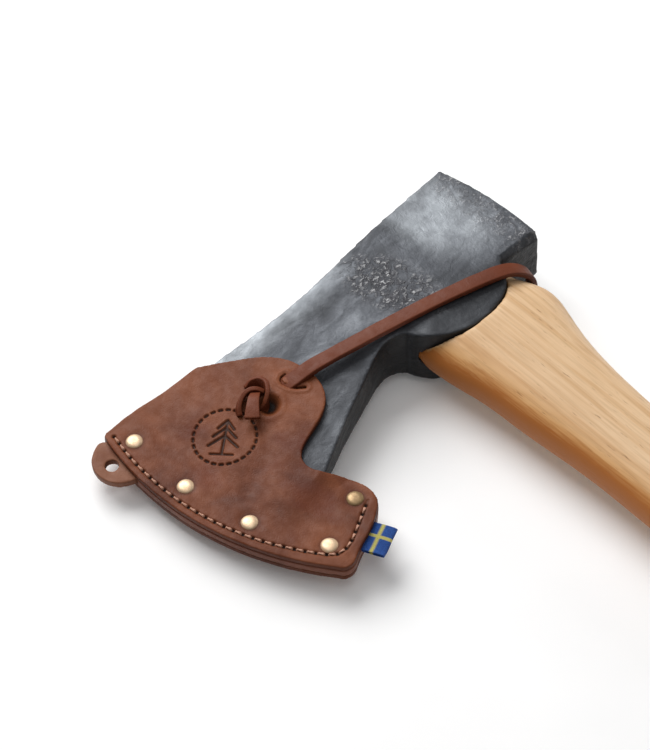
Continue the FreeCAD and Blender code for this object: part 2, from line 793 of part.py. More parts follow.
def make_rivet(number):
    """A double-cap rivet: the front cap, and the post that carries the back cap."""
    x, y = getattr(D, f"rivet_{number}_across"), getattr(D, f"rivet_{number}_along")
    face = layer_half() + D.leather + 0.02
    dome = (D.rivet_cap_r * D.rivet_cap_r + D.rivet_cap_h * D.rivet_cap_h) / (D.rivet_cap_h * 2)
    cap = spun(f"rivet_cap_{number}", x, y, [
        (0.0, face),
        (D.rivet_cap_r, face, -dome),
        (0.0, face + D.rivet_cap_h),
    ])
    post = spun(f"rivet_post_{number}", x, y, [
        (0.0, -face - D.rivet_cap_h, -dome),
        (D.rivet_cap_r, -face),
        (D.rivet_post_r, -face),
        (D.rivet_post_r, face - 0.04),
        (0.0, face - 0.04),
    ])
    return [cap, post]


def spun(label, x, y, corners):
    body = new_body(label)
    sketch = new_sketch(body, "XZ_Plane")
    outline(sketch, corners)
    feature = body.newObject("PartDesign::Revolution", label + "_turned")
    feature.Profile = sketch
    feature.ReferenceAxis = (sketch, ["V_Axis"])
    feature.Angle = 360.0
    body.Placement = FreeCAD.Placement(V(float(x), float(y), 0), FreeCAD.Rotation())
    DOC.recompute()
    return body


def make_stitching():
    """The thread: one run on each face of the sheath, tied through every stitch hole."""
    radius = float(D.thread) / 2
    face = float(layer_half() + D.leather) + 0.1
    parts = []
    for run in (STITCH_BORDER, STITCH_SIDE):
        curve = Part.BSplineCurve()
        curve.interpolate([V(x, y, 0) for x, y in run])
        count = round(curve.length() / float(D.stitch_pitch)) + 1
        holes = curve.toShape().discretize(Number=count)
        for hole in holes[1 if run is STITCH_SIDE else 0:]:
            base = V(hole.x, hole.y, -face - radius * 0.8)
            parts.append(Part.makeCylinder(radius * 1.1, (face + radius * 0.8) * 2, base))
        for a, b in zip(holes[:-1], holes[1:]):
            way = b - a
            for side in (face, -face):
                parts.append(Part.makeCylinder(radius, way.Length, V(a.x, a.y, side), way))
    return feature_of("stitching", parts[0].fuse(parts[1:]))


# ---------------------------------------------------------------- strap


def make_strap():
    """A flat leather strap, tied off above and below the sheath and looped round the handle."""
    thick = D.strap_thick
    inner_face = D.cheek_half + D.strap_gap
    reach_in = D.strap_reach - thick / 2
    turn_in = D.strap_corner_r - thick / 2
    upper = [
        (D.strap_reach + thick / 2, inner_face - turn_in, turn_in + thick),
        (reach_in - turn_in, inner_face + thick),
        (66.0, inner_face + thick),
        (7.5, 13.9),
        (0.6, 13.5),
        (-4.2, 8.1),
        (-D.tuck_end, 6.65),
        (-D.tuck_end, 5.25),
        (-3.6, 6.8),
        (3.0, 11.2),
        (7.5, 11.4),
        (66.0, inner_face),
        (reach_in - turn_in, inner_face, -turn_in),
        (reach_in, inner_face - turn_in),
    ]
    lower = []
    for n in range(len(upper) - 1, -1, -1):
        x, z = upper[n][:2]
        before = upper[n - 1] if n > 0 else ()
        lower.append((x, -as_size(z), *before[2:]))
    body = strap_body("strap")
    sketch = new_sketch(body, "YZ_Plane")
    outline(sketch, upper + lower)
    pad(body, sketch, D.strap_width)

    knot = D.knot_height
    lump = [
        (-11.3, 5.9),
        (-11.3, 8.9),
        (-11.0, as_size(9.6) + knot * 0.3, [(-12.6, 8.9 + float(knot) * 0.82)]),
        (-16.5, as_size(8.6) + knot, [(-21.5, 8.1 + float(knot) * 0.8)]),
        (-25.5, 8.6),
        (-D.tuck_end, 9.0),
        (-D.tuck_end, 5.3),
    ]
    for side in (lump, mirrored(lump)):
        sketch = new_sketch(body, "YZ_Plane")
        outline(sketch, side)
        pad(body, sketch, D.strap_width)
    return body


# ---------------------------------------------------------------- putting it together


def make_all():
    head = make_head()
    bevel_edge(head)
    chamfer_poll(head)
    cut_eye(head)
    nodes = [head, make_handle(), *make_wedges()]
    nodes += [make_leather(), make_welt(), make_tab(), label_blank("side_label", 0.0)]
    for number in range(1, len(RIVETS) + 1):
        nodes += make_rivet(number)
    nodes += [make_stitching(), make_strap()]
    return nodes


def lay_down(nodes):
    """Rolls everything onto the cheek and sets the origin under the middle of the footprint."""
    roll = FreeCAD.Rotation(V(1, 0, 0), float(D.rest_roll))
    pitch = FreeCAD.Rotation(V(0, 1, 0), float(D.rest_pitch))
    turn = FreeCAD.Placement(V(), pitch.multiply(roll))
    for node in nodes:
        node.Placement = turn.multiply(node.Placement)
    DOC.recompute()
    box = FreeCAD.BoundBox()
    for node in nodes:
        box.add(node.Shape.optimalBoundingBox(False))
    shift = FreeCAD.Placement(V(-box.Center.x, -box.Center.y, -box.ZMin), FreeCAD.Rotation())
    for node in nodes:
        node.Placement = shift.multiply(node.Placement)
    DOC.recompute()
    rest = shift.multiply(turn)
    print("rest placement", rest)
    return rest


def check_and_export(nodes):
    for thing in DOC.Objects:
        if "Invalid" in thing.State or "Error" in thing.State:
            raise RuntimeError(f"{thing.Name} did not compute: {thing.State}")
    os.makedirs("parts", exist_ok=True)
    for node in nodes:
        if node.Shape.isNull() or not node.Shape.isValid() or len(node.Shape.Solids) != 1:
            raise RuntimeError(f"{node.Label} is not one valid solid")
        node.Shape.exportStep(f"parts/{node.Label}.step")
        print(f"{node.Label:16s} {node.Shape.Volume:12.1f} mm3")


NODES = make_all()
REST = lay_down(NODES)
check_and_export(NODES)
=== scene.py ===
"""Looks of the felling axe: forged head, ash handle, stitched leather sheath, strap and knots.

Shapes are worked out in the axe's own frame, in millimetres: +X runs down the handle, +Y points
to the poll, -Y to the edge, +Z is the upper cheek, and the eye's centre is the origin. The axe
lies on the floor rolled and tilted a little; to_world() lays points down as the CAD parts lie.
"""

import json
import math

import bmesh
import bpy
import numpy as np
from mathutils import Matrix, Vector, noise
from mathutils.bvhtree import BVHTree


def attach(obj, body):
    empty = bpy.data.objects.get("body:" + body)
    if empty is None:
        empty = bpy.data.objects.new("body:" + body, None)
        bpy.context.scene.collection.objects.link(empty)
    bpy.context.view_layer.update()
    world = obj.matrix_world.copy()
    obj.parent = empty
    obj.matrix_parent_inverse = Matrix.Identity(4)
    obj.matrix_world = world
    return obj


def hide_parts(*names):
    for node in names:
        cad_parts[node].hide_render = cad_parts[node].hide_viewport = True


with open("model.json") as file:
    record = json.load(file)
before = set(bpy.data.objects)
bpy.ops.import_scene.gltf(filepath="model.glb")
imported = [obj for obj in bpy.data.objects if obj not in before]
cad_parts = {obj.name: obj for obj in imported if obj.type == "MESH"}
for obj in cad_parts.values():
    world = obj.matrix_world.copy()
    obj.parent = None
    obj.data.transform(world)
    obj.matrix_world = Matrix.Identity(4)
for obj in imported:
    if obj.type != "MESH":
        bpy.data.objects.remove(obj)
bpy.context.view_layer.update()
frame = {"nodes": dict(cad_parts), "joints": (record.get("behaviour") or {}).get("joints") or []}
NODES = frame["nodes"]

# ---------------------------------------------------------------- how the axe lies

MM = 0.001
ROLL = math.radians(3.7)
PITCH = math.radians(0.3)
STRAP_EXIT = (8.6, -72.3)
STRAP_LEAN = math.radians(14.0)
TURN = np.array(Matrix.Rotation(PITCH, 3, "Y") @ Matrix.Rotation(ROLL, 3, "X"))
SWING = next(j for j in frame["joints"] if j["name"] == "strap_swing")
SHIFT = np.array(SWING["pos_m"]) / MM - TURN @ np.array([*STRAP_EXIT, 0.0])


def to_world(points):
    """Millimetres in the axe's frame to metres in the row's frame."""
    return (np.asarray(points, float) @ TURN.T + SHIFT) * MM


def to_axe(points):
    """Metres in the row's frame to millimetres in the axe's frame."""
    return (np.asarray(points, float) / MM - SHIFT) @ TURN


# ---------------------------------------------------------------- mesh helpers


def mesh_object(name, points, faces):
    """A mesh object from points in the axe's frame."""
    mesh = bpy.data.meshes.new(name)
    mesh.from_pydata([tuple(p) for p in to_world(points)], [], faces)
    mesh.update()
    obj = bpy.data.objects.new(name, mesh)
    bpy.context.scene.collection.objects.link(obj)
    mesh.polygons.foreach_set("use_smooth", [True] * len(mesh.polygons))
    return obj


def copy_of(node, name):
    """A new object with a copy of a CAD node's mesh, without its materials."""
    mesh = NODES[node].data.copy()
    mesh.name = name
    mesh.materials.clear()
    obj = bpy.data.objects.new(name, mesh)
    bpy.context.scene.collection.objects.link(obj)
    return obj


def apply_modifiers(obj):
    """Bakes an object's modifiers into a plain mesh."""
    bpy.context.view_layer.update()
    graph = bpy.context.evaluated_depsgraph_get()
    baked = bpy.data.meshes.new_from_object(obj.evaluated_get(graph))
    baked.name = obj.data.name
    obj.modifiers.clear()
    old = obj.data
    obj.data = baked
    bpy.data.meshes.remove(old)
    obj.data.polygons.foreach_set("use_smooth", [True] * len(obj.data.polygons))
    obj.data.update()


def remesh(obj, voxel_mm, smoothing):
    """An even, closed skin over the object, its edges rounded by smoothing steps."""
    skin = obj.modifiers.new("skin", "REMESH")
    skin.mode = "VOXEL"
    skin.voxel_size = voxel_mm * MM
    skin.use_smooth_shade = True
    if smoothing:
        soften = obj.modifiers.new("soften", "SMOOTH")
        soften.factor = 0.5
        soften.iterations = smoothing
    apply_modifiers(obj)


def read_points(obj):
    """Vertex places in the axe's frame."""
    co = np.zeros(len(obj.data.vertices) * 3)
    obj.data.vertices.foreach_get("co", co)
    return to_axe(co.reshape(-1, 3))


def read_normals(obj):
    """Vertex normals in the axe's frame."""
    normals = np.zeros(len(obj.data.vertices) * 3)
    obj.data.vertex_normals.foreach_get("vector", normals)
    return normals.reshape(-1, 3) @ TURN


def write_points(obj, points):
    """Puts the vertices at places given in the axe's frame."""
    obj.data.vertices.foreach_set("co", to_world(points).ravel())
    obj.data.update()


def store(obj, name, values):
    """Keeps one number per vertex for the materials to read."""
    attribute = obj.data.attributes.new(name, "FLOAT", "POINT")
    attribute.data.foreach_set("value", np.asarray(values, np.float32))


def smoothstep(low, high, x):
    """A soft step from 0 at low to 1 at high; low may be the larger one."""
    t = np.clip((x - low) / (high - low), 0.0, 1.0)
    return t * t * (3.0 - 2.0 * t)


def rough_noise(points, size, seed, octaves=3):
    """Soft noise from about -1 to 1, with bumps about size across."""
    shifted = np.asarray(points, float) / size + np.array([seed * 7.3, seed * 3.1, seed * 5.7])
    return np.array([noise.fractal(Vector(p), 0.8, 2.1, octaves) for p in shifted])


def blurred_offset(points, chosen, cell, reach):
    """How far each chosen point is below the average height round it, over about reach."""
    spots = points[chosen]
    low = spots[:, :2].min(0) - 4 * reach
    size = np.ceil((spots[:, :2].max(0) + 4 * reach - low) / cell).astype(int) + 2
    at = (spots[:, :2] - low) / cell
    index = tuple(at.astype(int).T)
    heights = np.zeros(size)
    counts = np.zeros(size)
    np.add.at(heights, index, spots[:, 2])
    np.add.at(counts, index, 1.0)
    span = np.arange(-3 * int(reach / cell), 3 * int(reach / cell) + 1) * cell
    kernel = np.exp(-0.5 * (span / reach) ** 2)

    def blur(grid):
        rows = np.apply_along_axis(np.convolve, 0, grid, kernel, "same")
        return np.apply_along_axis(np.convolve, 1, rows, kernel, "same")

    mean = blur(heights) / np.maximum(blur(counts), 1e-9)
    base = at.astype(int)
    part = at - base
    level = np.zeros(len(spots))
    for dx in (0, 1):
        for dy in (0, 1):
            weight = np.abs(1 - dx - part[:, 0]) * np.abs(1 - dy - part[:, 1])
            level += weight * mean[base[:, 0] + dx, base[:, 1] + dy]
    offset = np.zeros(len(points))
    offset[chosen] = level - spots[:, 2]
    return offset


def polyline_distance(points, line):
    """Distance in the plane from each point to a line of points, and the length along it."""
    points = np.asarray(points, float)[:, :2]
    line = np.asarray(line, float)
    best = np.full(len(points), 1e9)
    along = np.zeros(len(points))
    start = 0.0
    for a, b in zip(line[:-1], line[1:]):
        step = b - a
        length = np.hypot(*step)
        t = np.clip(((points - a) @ step) / length**2, 0.0, 1.0)
        gap = np.hypot(*(points - a - t[:, None] * step).T)
        closer = gap < best
        best[closer] = gap[closer]
        along[closer] = start + t[closer] * length
        start += length
    return best, along


def catmull(points, per_span):
    """A smooth line through the points."""
    pts = np.asarray(points, float)
    pts = np.vstack([2 * pts[0] - pts[1], pts, 2 * pts[-1] - pts[-2]])
    out = []
    for k in range(1, len(pts) - 2):
        p0, p1, p2, p3 = pts[k - 1 : k + 3]
        for t in np.arange(per_span) / per_span:
            square = (2 * p0 - 5 * p1 + 4 * p2 - p3) * t**2
            cube = (3 * p1 - p0 - 3 * p2 + p3) * t**3
            out.append(0.5 * (2 * p1 + (p2 - p0) * t + square + cube))
    out.append(pts[-2])
    return np.array(out)


def even_points(line, step):
    """Points along a line at an even spacing near step, both ends kept."""
    line = np.asarray(line, float)
    lengths = np.r_[0.0, np.cumsum(np.linalg.norm(np.diff(line, axis=0), axis=1))]
    count = max(2, int(round(lengths[-1] / step)) + 1)
    at = np.linspace(0.0, lengths[-1], count)
    return np.stack([np.interp(at, lengths, line[:, k]) for k in range(line.shape[1])], 1)


def unit(v):
    """Vectors of length one."""
    return v / (np.linalg.norm(v, axis=-1, keepdims=True) + 1e-12)


def loft(name, rings):
    """A closed skin over rings of points, each with the same number of points."""
    count = len(rings[0])
    points = np.vstack(rings)
    faces = []
    for r in range(len(rings) - 1):
        for k in range(count):
            a = r * count + k
            b = r * count + (k + 1) % count
            faces.append((a, b, b + count, a + count))
    faces.append(tuple(reversed(range(count))))
    faces.append(tuple(range((len(rings) - 1) * count, len(rings) * count)))
    return mesh_object(name, points, faces)


def join(objects, name):
    """Several mesh objects made into one."""
    bm = bmesh.new()
    for obj in objects:
        bm.from_mesh(obj.data)
        bpy.data.objects.remove(obj)
    mesh = bpy.data.meshes.new(name)
    bm.to_mesh(mesh)
    bm.free()
    mesh.polygons.foreach_set("use_smooth", [True] * len(mesh.polygons))
    joined = bpy.data.objects.new(name, mesh)
    bpy.context.scene.collection.objects.link(joined)
    return joined


def band_section(width, thick, corner, steps=3):
    """A rounded rectangle, width along its first axis, as offsets going round."""
    ring = []
    for sx, sy, first in ((1, 1, 0), (-1, 1, 1), (-1, -1, 2), (1, -1, 3)):
        for k in range(steps + 1):
            angle = (first + k / steps) * math.pi / 2
            x = sx * (width / 2 - corner) + corner * math.cos(angle)
            y = sy * (thick / 2 - corner) + corner * math.sin(angle)
            ring.append((x, y))
    return np.array(ring)


def sweep_band(name, path, sides, width, thick, corner=0.45, taper=None):
    """A flat band along a path. sides gives the width's direction at each path point."""
    path = np.asarray(path, float)
    tangent = unit(np.gradient(path, axis=0))
    sides = unit(sides - np.sum(sides * tangent, axis=1, keepdims=True) * tangent)
    up = np.cross(tangent, sides)
    section = band_section(width, thick, corner)
    rings = []
    for k, at in enumerate(path):
        size = 1.0 if taper is None else taper[k]
        flat = sides[k] * section[:, :1] * size
        rings.append(at + flat + up[k] * section[:, 1:] * (0.5 + 0.5 * size))
    for end, ahead in ((0, -tangent[0]), (-1, tangent[-1])):
        middle = path[end]
        lip = middle + (rings[end] - middle) * 0.9 + ahead * corner * 0.4
        rings = [lip, *rings] if end == 0 else [*rings, lip]
    return loft(name, rings)


def give(obj, material, slot, body, *replaced):
    """Puts a material on a piece and says what it rides on and stands for."""
    obj.data.materials.clear()
    obj.data.materials.append(material)
    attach(obj, body)
    if replaced:
        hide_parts(*replaced)


# ---------------------------------------------------------------- material helpers


class Material:
    """A node material, built up call by call. Coordinates are millimetres in the axe's frame."""

    def __init__(self, name):
        self.material = bpy.data.materials.new(name)
        self.material.use_nodes = True
        self.tree = self.material.node_tree
        self.tree.nodes.clear()
        output = self.tree.nodes.new("ShaderNodeOutputMaterial")
        self.shader = self.tree.nodes.new("ShaderNodeBsdfPrincipled")
        self.tree.links.new(self.shader.outputs["BSDF"], output.inputs["Surface"])
        self.place = self.axe_place()

    def node(self, kind, **settings):
        made = self.tree.nodes.new(kind)
        for key, value in settings.items():
            setattr(made, key, value)
        return made

    def feed(self, socket, value):
        """A link where the value is an output, and a plain setting where it is a number."""
        if isinstance(value, bpy.types.NodeSocket):
            self.tree.links.new(value, socket)
        else:
            socket.default_value = value

    def axe_place(self):
        """Where a point is in the axe's frame, in millimetres."""
        coords = self.node("ShaderNodeTexCoord")
        mapping = self.node("ShaderNodeMapping", vector_type="POINT")
        back = Matrix(TURN.T.tolist())
        mapping.inputs["Scale"].default_value = (1 / MM,) * 3
        mapping.inputs["Rotation"].default_value = back.to_euler("XYZ")
        mapping.inputs["Location"].default_value = tuple(-(TURN.T @ SHIFT))
        self.tree.links.new(coords.outputs["Object"], mapping.inputs["Vector"])
        return mapping.outputs["Vector"]

    def stretched(self, scale, turn=(0.0, 0.0, 0.0), shift=(0.0, 0.0, 0.0)):
        """The axe's own place, scaled and turned, for marks that run one way."""
        mapping = self.node("ShaderNodeMapping", vector_type="POINT")
        mapping.inputs["Scale"].default_value = scale
        mapping.inputs["Rotation"].default_value = turn
        mapping.inputs["Location"].default_value = shift
        self.tree.links.new(self.place, mapping.inputs["Vector"])
        return mapping.outputs["Vector"]

    def noise(self, size, detail=3.0, rough=0.5, distort=0.0, at=None):
        """Noise from 0 to 1 with features about size millimetres across."""
        made = self.node("ShaderNodeTexNoise")
        self.tree.links.new(at or self.place, made.inputs["Vector"])
        made.inputs["Scale"].default_value = 1.0 / size
        made.inputs["Detail"].default_value = detail
        made.inputs["Roughness"].default_value = rough
        made.inputs["Distortion"].default_value = distort
        return made.outputs["Fac"]

    def cells(self, size):
        """Distance to the middle of the nearest cell, with cells about size millimetres across."""
        made = self.node("ShaderNodeTexVoronoi", feature="F1")
        self.tree.links.new(self.place, made.inputs["Vector"])
        made.inputs["Scale"].default_value = 1.0 / size
        return made.outputs["Distance"]

    def ramp(self, value, *stops):
        """Colours or levels by value: stops are (where, colour or level)."""
        made = self.node("ShaderNodeValToRGB")
        self.feed(made.inputs["Fac"], value)
        elements = made.color_ramp.elements
        while len(elements) < len(stops):
            elements.new(0.5)
        for element, (where, colour) in zip(elements, stops):
            element.position = where
            if isinstance(colour, (int, float)):
                colour = (colour,) * 3
            element.color = (*colour, 1.0)
        return made.outputs["Color"]

    def levels(self, value, low, high, to_low=0.0, to_high=1.0):
        """A value from low to high, mapped to to_low to to_high and held there outside."""
        made = self.node("ShaderNodeMapRange", clamp=True)
        self.feed(made.inputs["Value"], value)
        made.inputs["From Min"].default_value = low
        made.inputs["From Max"].default_value = high
        made.inputs["To Min"].default_value = to_low
        made.inputs["To Max"].default_value = to_high
        return made.outputs["Result"]

    def mix(self, amount, first, second, blend="MIX"):
        made = self.node("ShaderNodeMix", data_type="RGBA", blend_type=blend)
        self.feed(made.inputs[0], amount)
        for socket, value in ((made.inputs[6], first), (made.inputs[7], second)):
            if isinstance(value, tuple) and len(value) == 3:
                value = (*value, 1.0)
            self.feed(socket, value)
        return made.outputs[2]

    def maths(self, operation, first, second=0.0):
        made = self.node("ShaderNodeMath", operation=operation)
        self.feed(made.inputs[0], first)
        self.feed(made.inputs[1], second)
        return made.outputs[0]

    def stored(self, name):
        """The number per vertex that store() kept."""
        made = self.node("ShaderNodeAttribute", attribute_name=name)
        return made.outputs["Fac"]

    def bump(self, height, depth_mm, normal=None):
        made = self.node("ShaderNodeBump")
        made.inputs["Strength"].default_value = 1.0
        made.inputs["Distance"].default_value = depth_mm * MM
        self.feed(made.inputs["Height"], height)
        if normal is not None:
            self.tree.links.new(normal, made.inputs["Normal"])
        return made.outputs["Normal"]

    def finish(self, colour, roughness, normal=None, **constants):
        self.feed(self.shader.inputs["Base Color"], colour)
        self.feed(self.shader.inputs["Roughness"], roughness)
        if normal is not None:
            self.tree.links.new(normal, self.shader.inputs["Normal"])
        for key, value in constants.items():
            self.shader.inputs[key.replace("_", " ")].default_value = value
        return self.material


# ---------------------------------------------------------------- materials


def steel_material():
    """Forging scale: cloudy blue-grey with bright streaks and a pitted patch, plus a painted sheen,
    painted glints and painted shade.
    """
    m = Material("forged_steel")
    clouds = m.noise(30.0, 3.0, 0.5, 0.4)
    streaks = m.noise(8.0, 4.0, 0.65, 1.2, at=m.stretched((1.0, 0.40, 1.0), (0, 0, 0.45)))
    fine = m.noise(1.5, 6.0, 0.7)
    flakes = m.noise(4.2, 5.0, 0.62, 0.8)
    patch = m.stored("patch")
    scale = m.ramp(
        m.maths("ADD", m.maths("MULTIPLY", clouds, 0.72), m.maths("MULTIPLY", streaks, 0.28)),
        (0.36, (0.036, 0.039, 0.045)),
        (0.48, (0.066, 0.071, 0.082)),
        (0.58, (0.104, 0.112, 0.127)),
        (0.72, (0.190, 0.203, 0.222)),
    )
    scale = m.mix(m.levels(fine, 0.38, 0.72, 0.0, 0.42), scale, (0.028, 0.031, 0.037))
    # painted sheen: the scale lightened towards pale grey where the sheen weight is stored, standing in
    # for the key light's reflection
    scale = m.mix(m.maths("MULTIPLY", m.stored("sheen"), 0.90), scale, (0.42, 0.45, 0.48))
    fleck_noise = m.noise(1.4, 5.0, 0.62, 0.6, at=m.stretched((1.0, 0.7, 1.0), shift=(9.0, 2.0, 4.0)))
    pits_at = m.maths("MULTIPLY", patch, m.levels(flakes, 0.42, 0.58))
    colour = m.mix(m.maths("MULTIPLY", pits_at, 0.55), scale, (0.085, 0.082, 0.090))
    # painted glints: bright pale flecks on the rims of the pits in the pitted patch
    painted_glints = m.maths("MULTIPLY", pits_at, m.levels(fleck_noise, 0.53, 0.60))
    colour = m.mix(painted_glints, colour, (0.44, 0.44, 0.45))
    # painted shade: near black on faces sloping away from the light, on the lugs and on the cheek below
    # the strap towards the heel
    colour = m.mix(m.maths("MULTIPLY", m.stored("painted_shade"), 0.95), colour, (0.010, 0.010, 0.011))
    colour = m.mix(m.levels(m.stored("worn"), 0.0, 1.0, 0.0, 0.40), colour, (0.34, 0.35, 0.36))
    grain = m.maths("ADD", m.maths("MULTIPLY", streaks, 0.7), m.maths("MULTIPLY", fine, 0.3))
    rough = m.levels(grain, 0.35, 0.68, 0.62, 0.40)
    coarse = m.bump(flakes, 0.35)
    normal = m.bump(fine, 0.12, coarse)
    normal = m.bump(m.maths("MULTIPLY", pits_at, m.levels(fleck_noise, 0.35, 0.65)), 0.40, normal)
    return m.finish(colour, rough, normal, Metallic=0.45, Specular_IOR_Level=0.5)


def wood_material(name, light, dark, painted_side_shade):
    """Ash: long fine grain with darker late wood and short brown pores along it."""
    m = Material(name)
    rings = m.noise(3.4, 3.0, 0.55, 0.4, at=m.stretched((0.028, 1.0, 0.8), (0, 0, 0.02)))
    fibre = m.noise(0.9, 3.0, 0.6, 0.0, at=m.stretched((0.035, 1.0, 1.0)))
    pores = m.noise(0.8, 2.0, 0.5, 0.0, at=m.stretched((0.11, 1.0, 1.0), shift=(3.0, 5.0, 1.0)))
    blotch = m.noise(30.0, 2.0, 0.5)
    colour = m.mix(m.levels(rings, 0.46, 0.66), light, dark)
    colour = m.mix(m.levels(fibre, 0.45, 0.75, 0.0, 0.35), colour, tuple(0.6 * c for c in dark))
    colour = m.mix(m.levels(pores, 0.66, 0.76, 0.0, 0.65), colour, (0.20, 0.085, 0.035))
    colour = m.mix(m.levels(blotch, 0.4, 0.7, 0.0, 0.25), colour, dark)
    # painted shade: the side facing away from the light turns more golden, then dark orange, with its
    # edge frayed by the fibres
    side = m.stored("painted_side_shade")
    golden = m.mix(1.0, colour, (0.93, 0.74, 0.50), "MULTIPLY")
    colour = m.mix(m.levels(side, 0.12, 0.62), colour, golden)
    frayed = m.maths("ADD", side, m.levels(fibre, 0.3, 0.7, -0.08, 0.08))
    colour = m.mix(m.levels(frayed, 0.52, 0.80), colour, painted_side_shade)
    rough = m.levels(fibre, 0.3, 0.7, 0.38, 0.52)
    normal = m.bump(fibre, 0.05)
    normal = m.bump(m.levels(pores, 0.60, 0.80, 1.0, 0.0), 0.08, normal)
    return m.finish(colour, rough, normal, Coat_Weight=0.03, Coat_Roughness=0.35, Specular_IOR_Level=0.18)


def leather_material(name, dark, mid, light, rough=(0.46, 0.64), red=(0.115, 0.022, 0.007)):
    """Waxed leather: cloudy colour, fine pores, painted shade in the presses and holes, and dark along
    cut edges.
    """
    m = Material(name)
    clouds = m.noise(30.0, 3.0, 0.55, 0.5)
    mottle = m.noise(3.6, 4.0, 0.6)
    pores = m.cells(0.8)
    hair = m.noise(0.5, 3.0, 0.6)
    scuff = m.noise(1.6, 5.0, 0.65, 0.4, at=m.stretched((1.0, 0.30, 1.0), (0, 0, 0.5)))
    colour = m.ramp(clouds, (0.30, dark), (0.46, mid), (0.74, light))
    colour = m.mix(m.levels(mottle, 0.42, 0.70, 0.0, 0.22), colour, dark)
    colour = m.mix(m.levels(m.noise(17.0, 2.0, 0.5, 0.3), 0.52, 0.70, 0.0, 0.50), colour, red)
    colour = m.mix(m.levels(scuff, 0.62, 0.78, 0.0, 0.35), colour, light)
    # painted highlight: lighter where lift is stored, on the sheath's rounded fold and tongue and on the
    # strap's flat faces
    colour = m.mix(m.stored("lift"), colour, light)
    colour = m.mix(m.maths("MULTIPLY", m.stored("edge"), 0.6), colour, dark)
    # painted shade: near black in the stitch holes and groove, round the rivet caps, in the slit, the
    # knot's well and the pressed mark
    colour = m.mix(m.stored("recess_shade"), colour, tuple(0.12 * c for c in dark))
    rough_to = m.levels(mottle, 0.35, 0.7, rough[0], rough[1])
    normal = m.bump(m.levels(pores, 0.05, 0.55), 0.05)
    normal = m.bump(hair, 0.035, normal)
    normal = m.bump(m.noise(2.6, 3.0, 0.6), 0.12, normal)
    return m.finish(colour, rough_to, normal, Specular_IOR_Level=0.22)


def thread_material():
    m = Material("linen_thread")
    fibre = m.noise(0.35, 3.0, 0.6)
    colour = m.mix(m.levels(fibre, 0.3, 0.7), (0.62, 0.36, 0.25), (0.42, 0.20, 0.13))
    colour = m.mix(m.levels(m.noise(9.0), 0.45, 0.7, 0.0, 0.4), colour, (0.30, 0.13, 0.085))
    return m.finish(colour, m.levels(fibre, 0.3, 0.7, 0.45, 0.65), m.bump(fibre, 0.08))


def brass_material():
    m = Material("pale_brass")
    haze = m.noise(2.4, 4.0, 0.6)
    scratch = m.noise(0.5, 4.0, 0.7, at=m.stretched((1.0, 0.25, 1.0), (0, 0, 0.6)))
    warm = m.mix(m.levels(haze, 0.4, 0.7), (0.80, 0.59, 0.39), (0.70, 0.48, 0.295))
    old = m.mix(m.levels(haze, 0.35, 0.65), (0.40, 0.265, 0.13), (0.26, 0.165, 0.078))
    colour = m.mix(m.stored("dull"), warm, old)
    rough = m.levels(haze, 0.3, 0.7, 0.36, 0.50)
    return m.finish(colour, rough, m.bump(scratch, 0.03), Metallic=0.45)


def wedge_steel_material():
    m = Material("wedge_steel")
    grind = m.noise(0.6, 4.0, 0.6, at=m.stretched((1.0, 0.2, 1.0)))
    colour = m.mix(m.levels(grind, 0.3, 0.7), (0.42, 0.42, 0.43), (0.25, 0.25, 0.26))
    return m.finish(colour, m.levels(grind, 0.3, 0.7, 0.3, 0.5), m.bump(grind, 0.05), Metallic=0.9)


def woven_material():
    """Blue ribbon with a yellow cross, both woven in fine ribs."""
    m = Material("woven_label")
    blue = m.mix(m.levels(m.noise(0.7), 0.3, 0.7), (0.008, 0.070, 0.36), (0.018, 0.130, 0.54))
    yellow = m.mix(m.levels(m.noise(0.6), 0.3, 0.7), (0.80, 0.68, 0.12), (0.92, 0.84, 0.25))
    across = m.node("ShaderNodeTexWave", wave_type="BANDS", bands_direction="X")
    ribs = m.node("ShaderNodeAttribute", attribute_name="weave")
    m.tree.links.new(ribs.outputs["Vector"], across.inputs["Vector"])
    across.inputs["Scale"].default_value = 0.9
    down = m.node("ShaderNodeTexWave", wave_type="BANDS", bands_direction="Y")
    m.tree.links.new(ribs.outputs["Vector"], down.inputs["Vector"])
    down.inputs["Scale"].default_value = 0.65
    weave = m.maths("MULTIPLY", across.outputs["Fac"], down.outputs["Fac"])
    colour = m.mix(m.stored("cross"), blue, yellow)
    colour = m.mix(m.levels(weave, 0.0, 0.5, 0.4, 0.0), colour, (0.01, 0.02, 0.06))
    return m.finish(colour, m.levels(weave, 0.0, 1.0, 0.8, 0.6), m.bump(weave, 0.12))


def floor_material():
    m = Material("pale_floor")
    grain = m.noise(40.0, 4.0, 0.5)
    colour = m.mix(m.levels(grain, 0.3, 0.7), (0.93, 0.93, 0.93), (0.91, 0.91, 0.91))
    return m.finish(
        colour,
        m.levels(grain, 0.3, 0.7, 0.72, 0.78),
        Specular_IOR_Level=0.2,
        Emission_Color=(1.0, 1.0, 1.0, 1.0),
        Emission_Strength=0.075,
    )


# ---------------------------------------------------------------- head and handle


HEAD_VOXEL = 0.75
HANDLE_VOXEL = 1.0
PITTED_AT = (4.0, -14.0)
PITTED_HALF = (27.0, 13.0)
PITTED_TURN = 0.30
# middle and half sizes of the painted sheen round the poll's corner
SHEEN_AT = (-10.0, 25.0)
SHEEN_HALF = (35.0, 25.0)
HAMMER_DEPTH = 0.16
PIT_DEPTH = 0.45


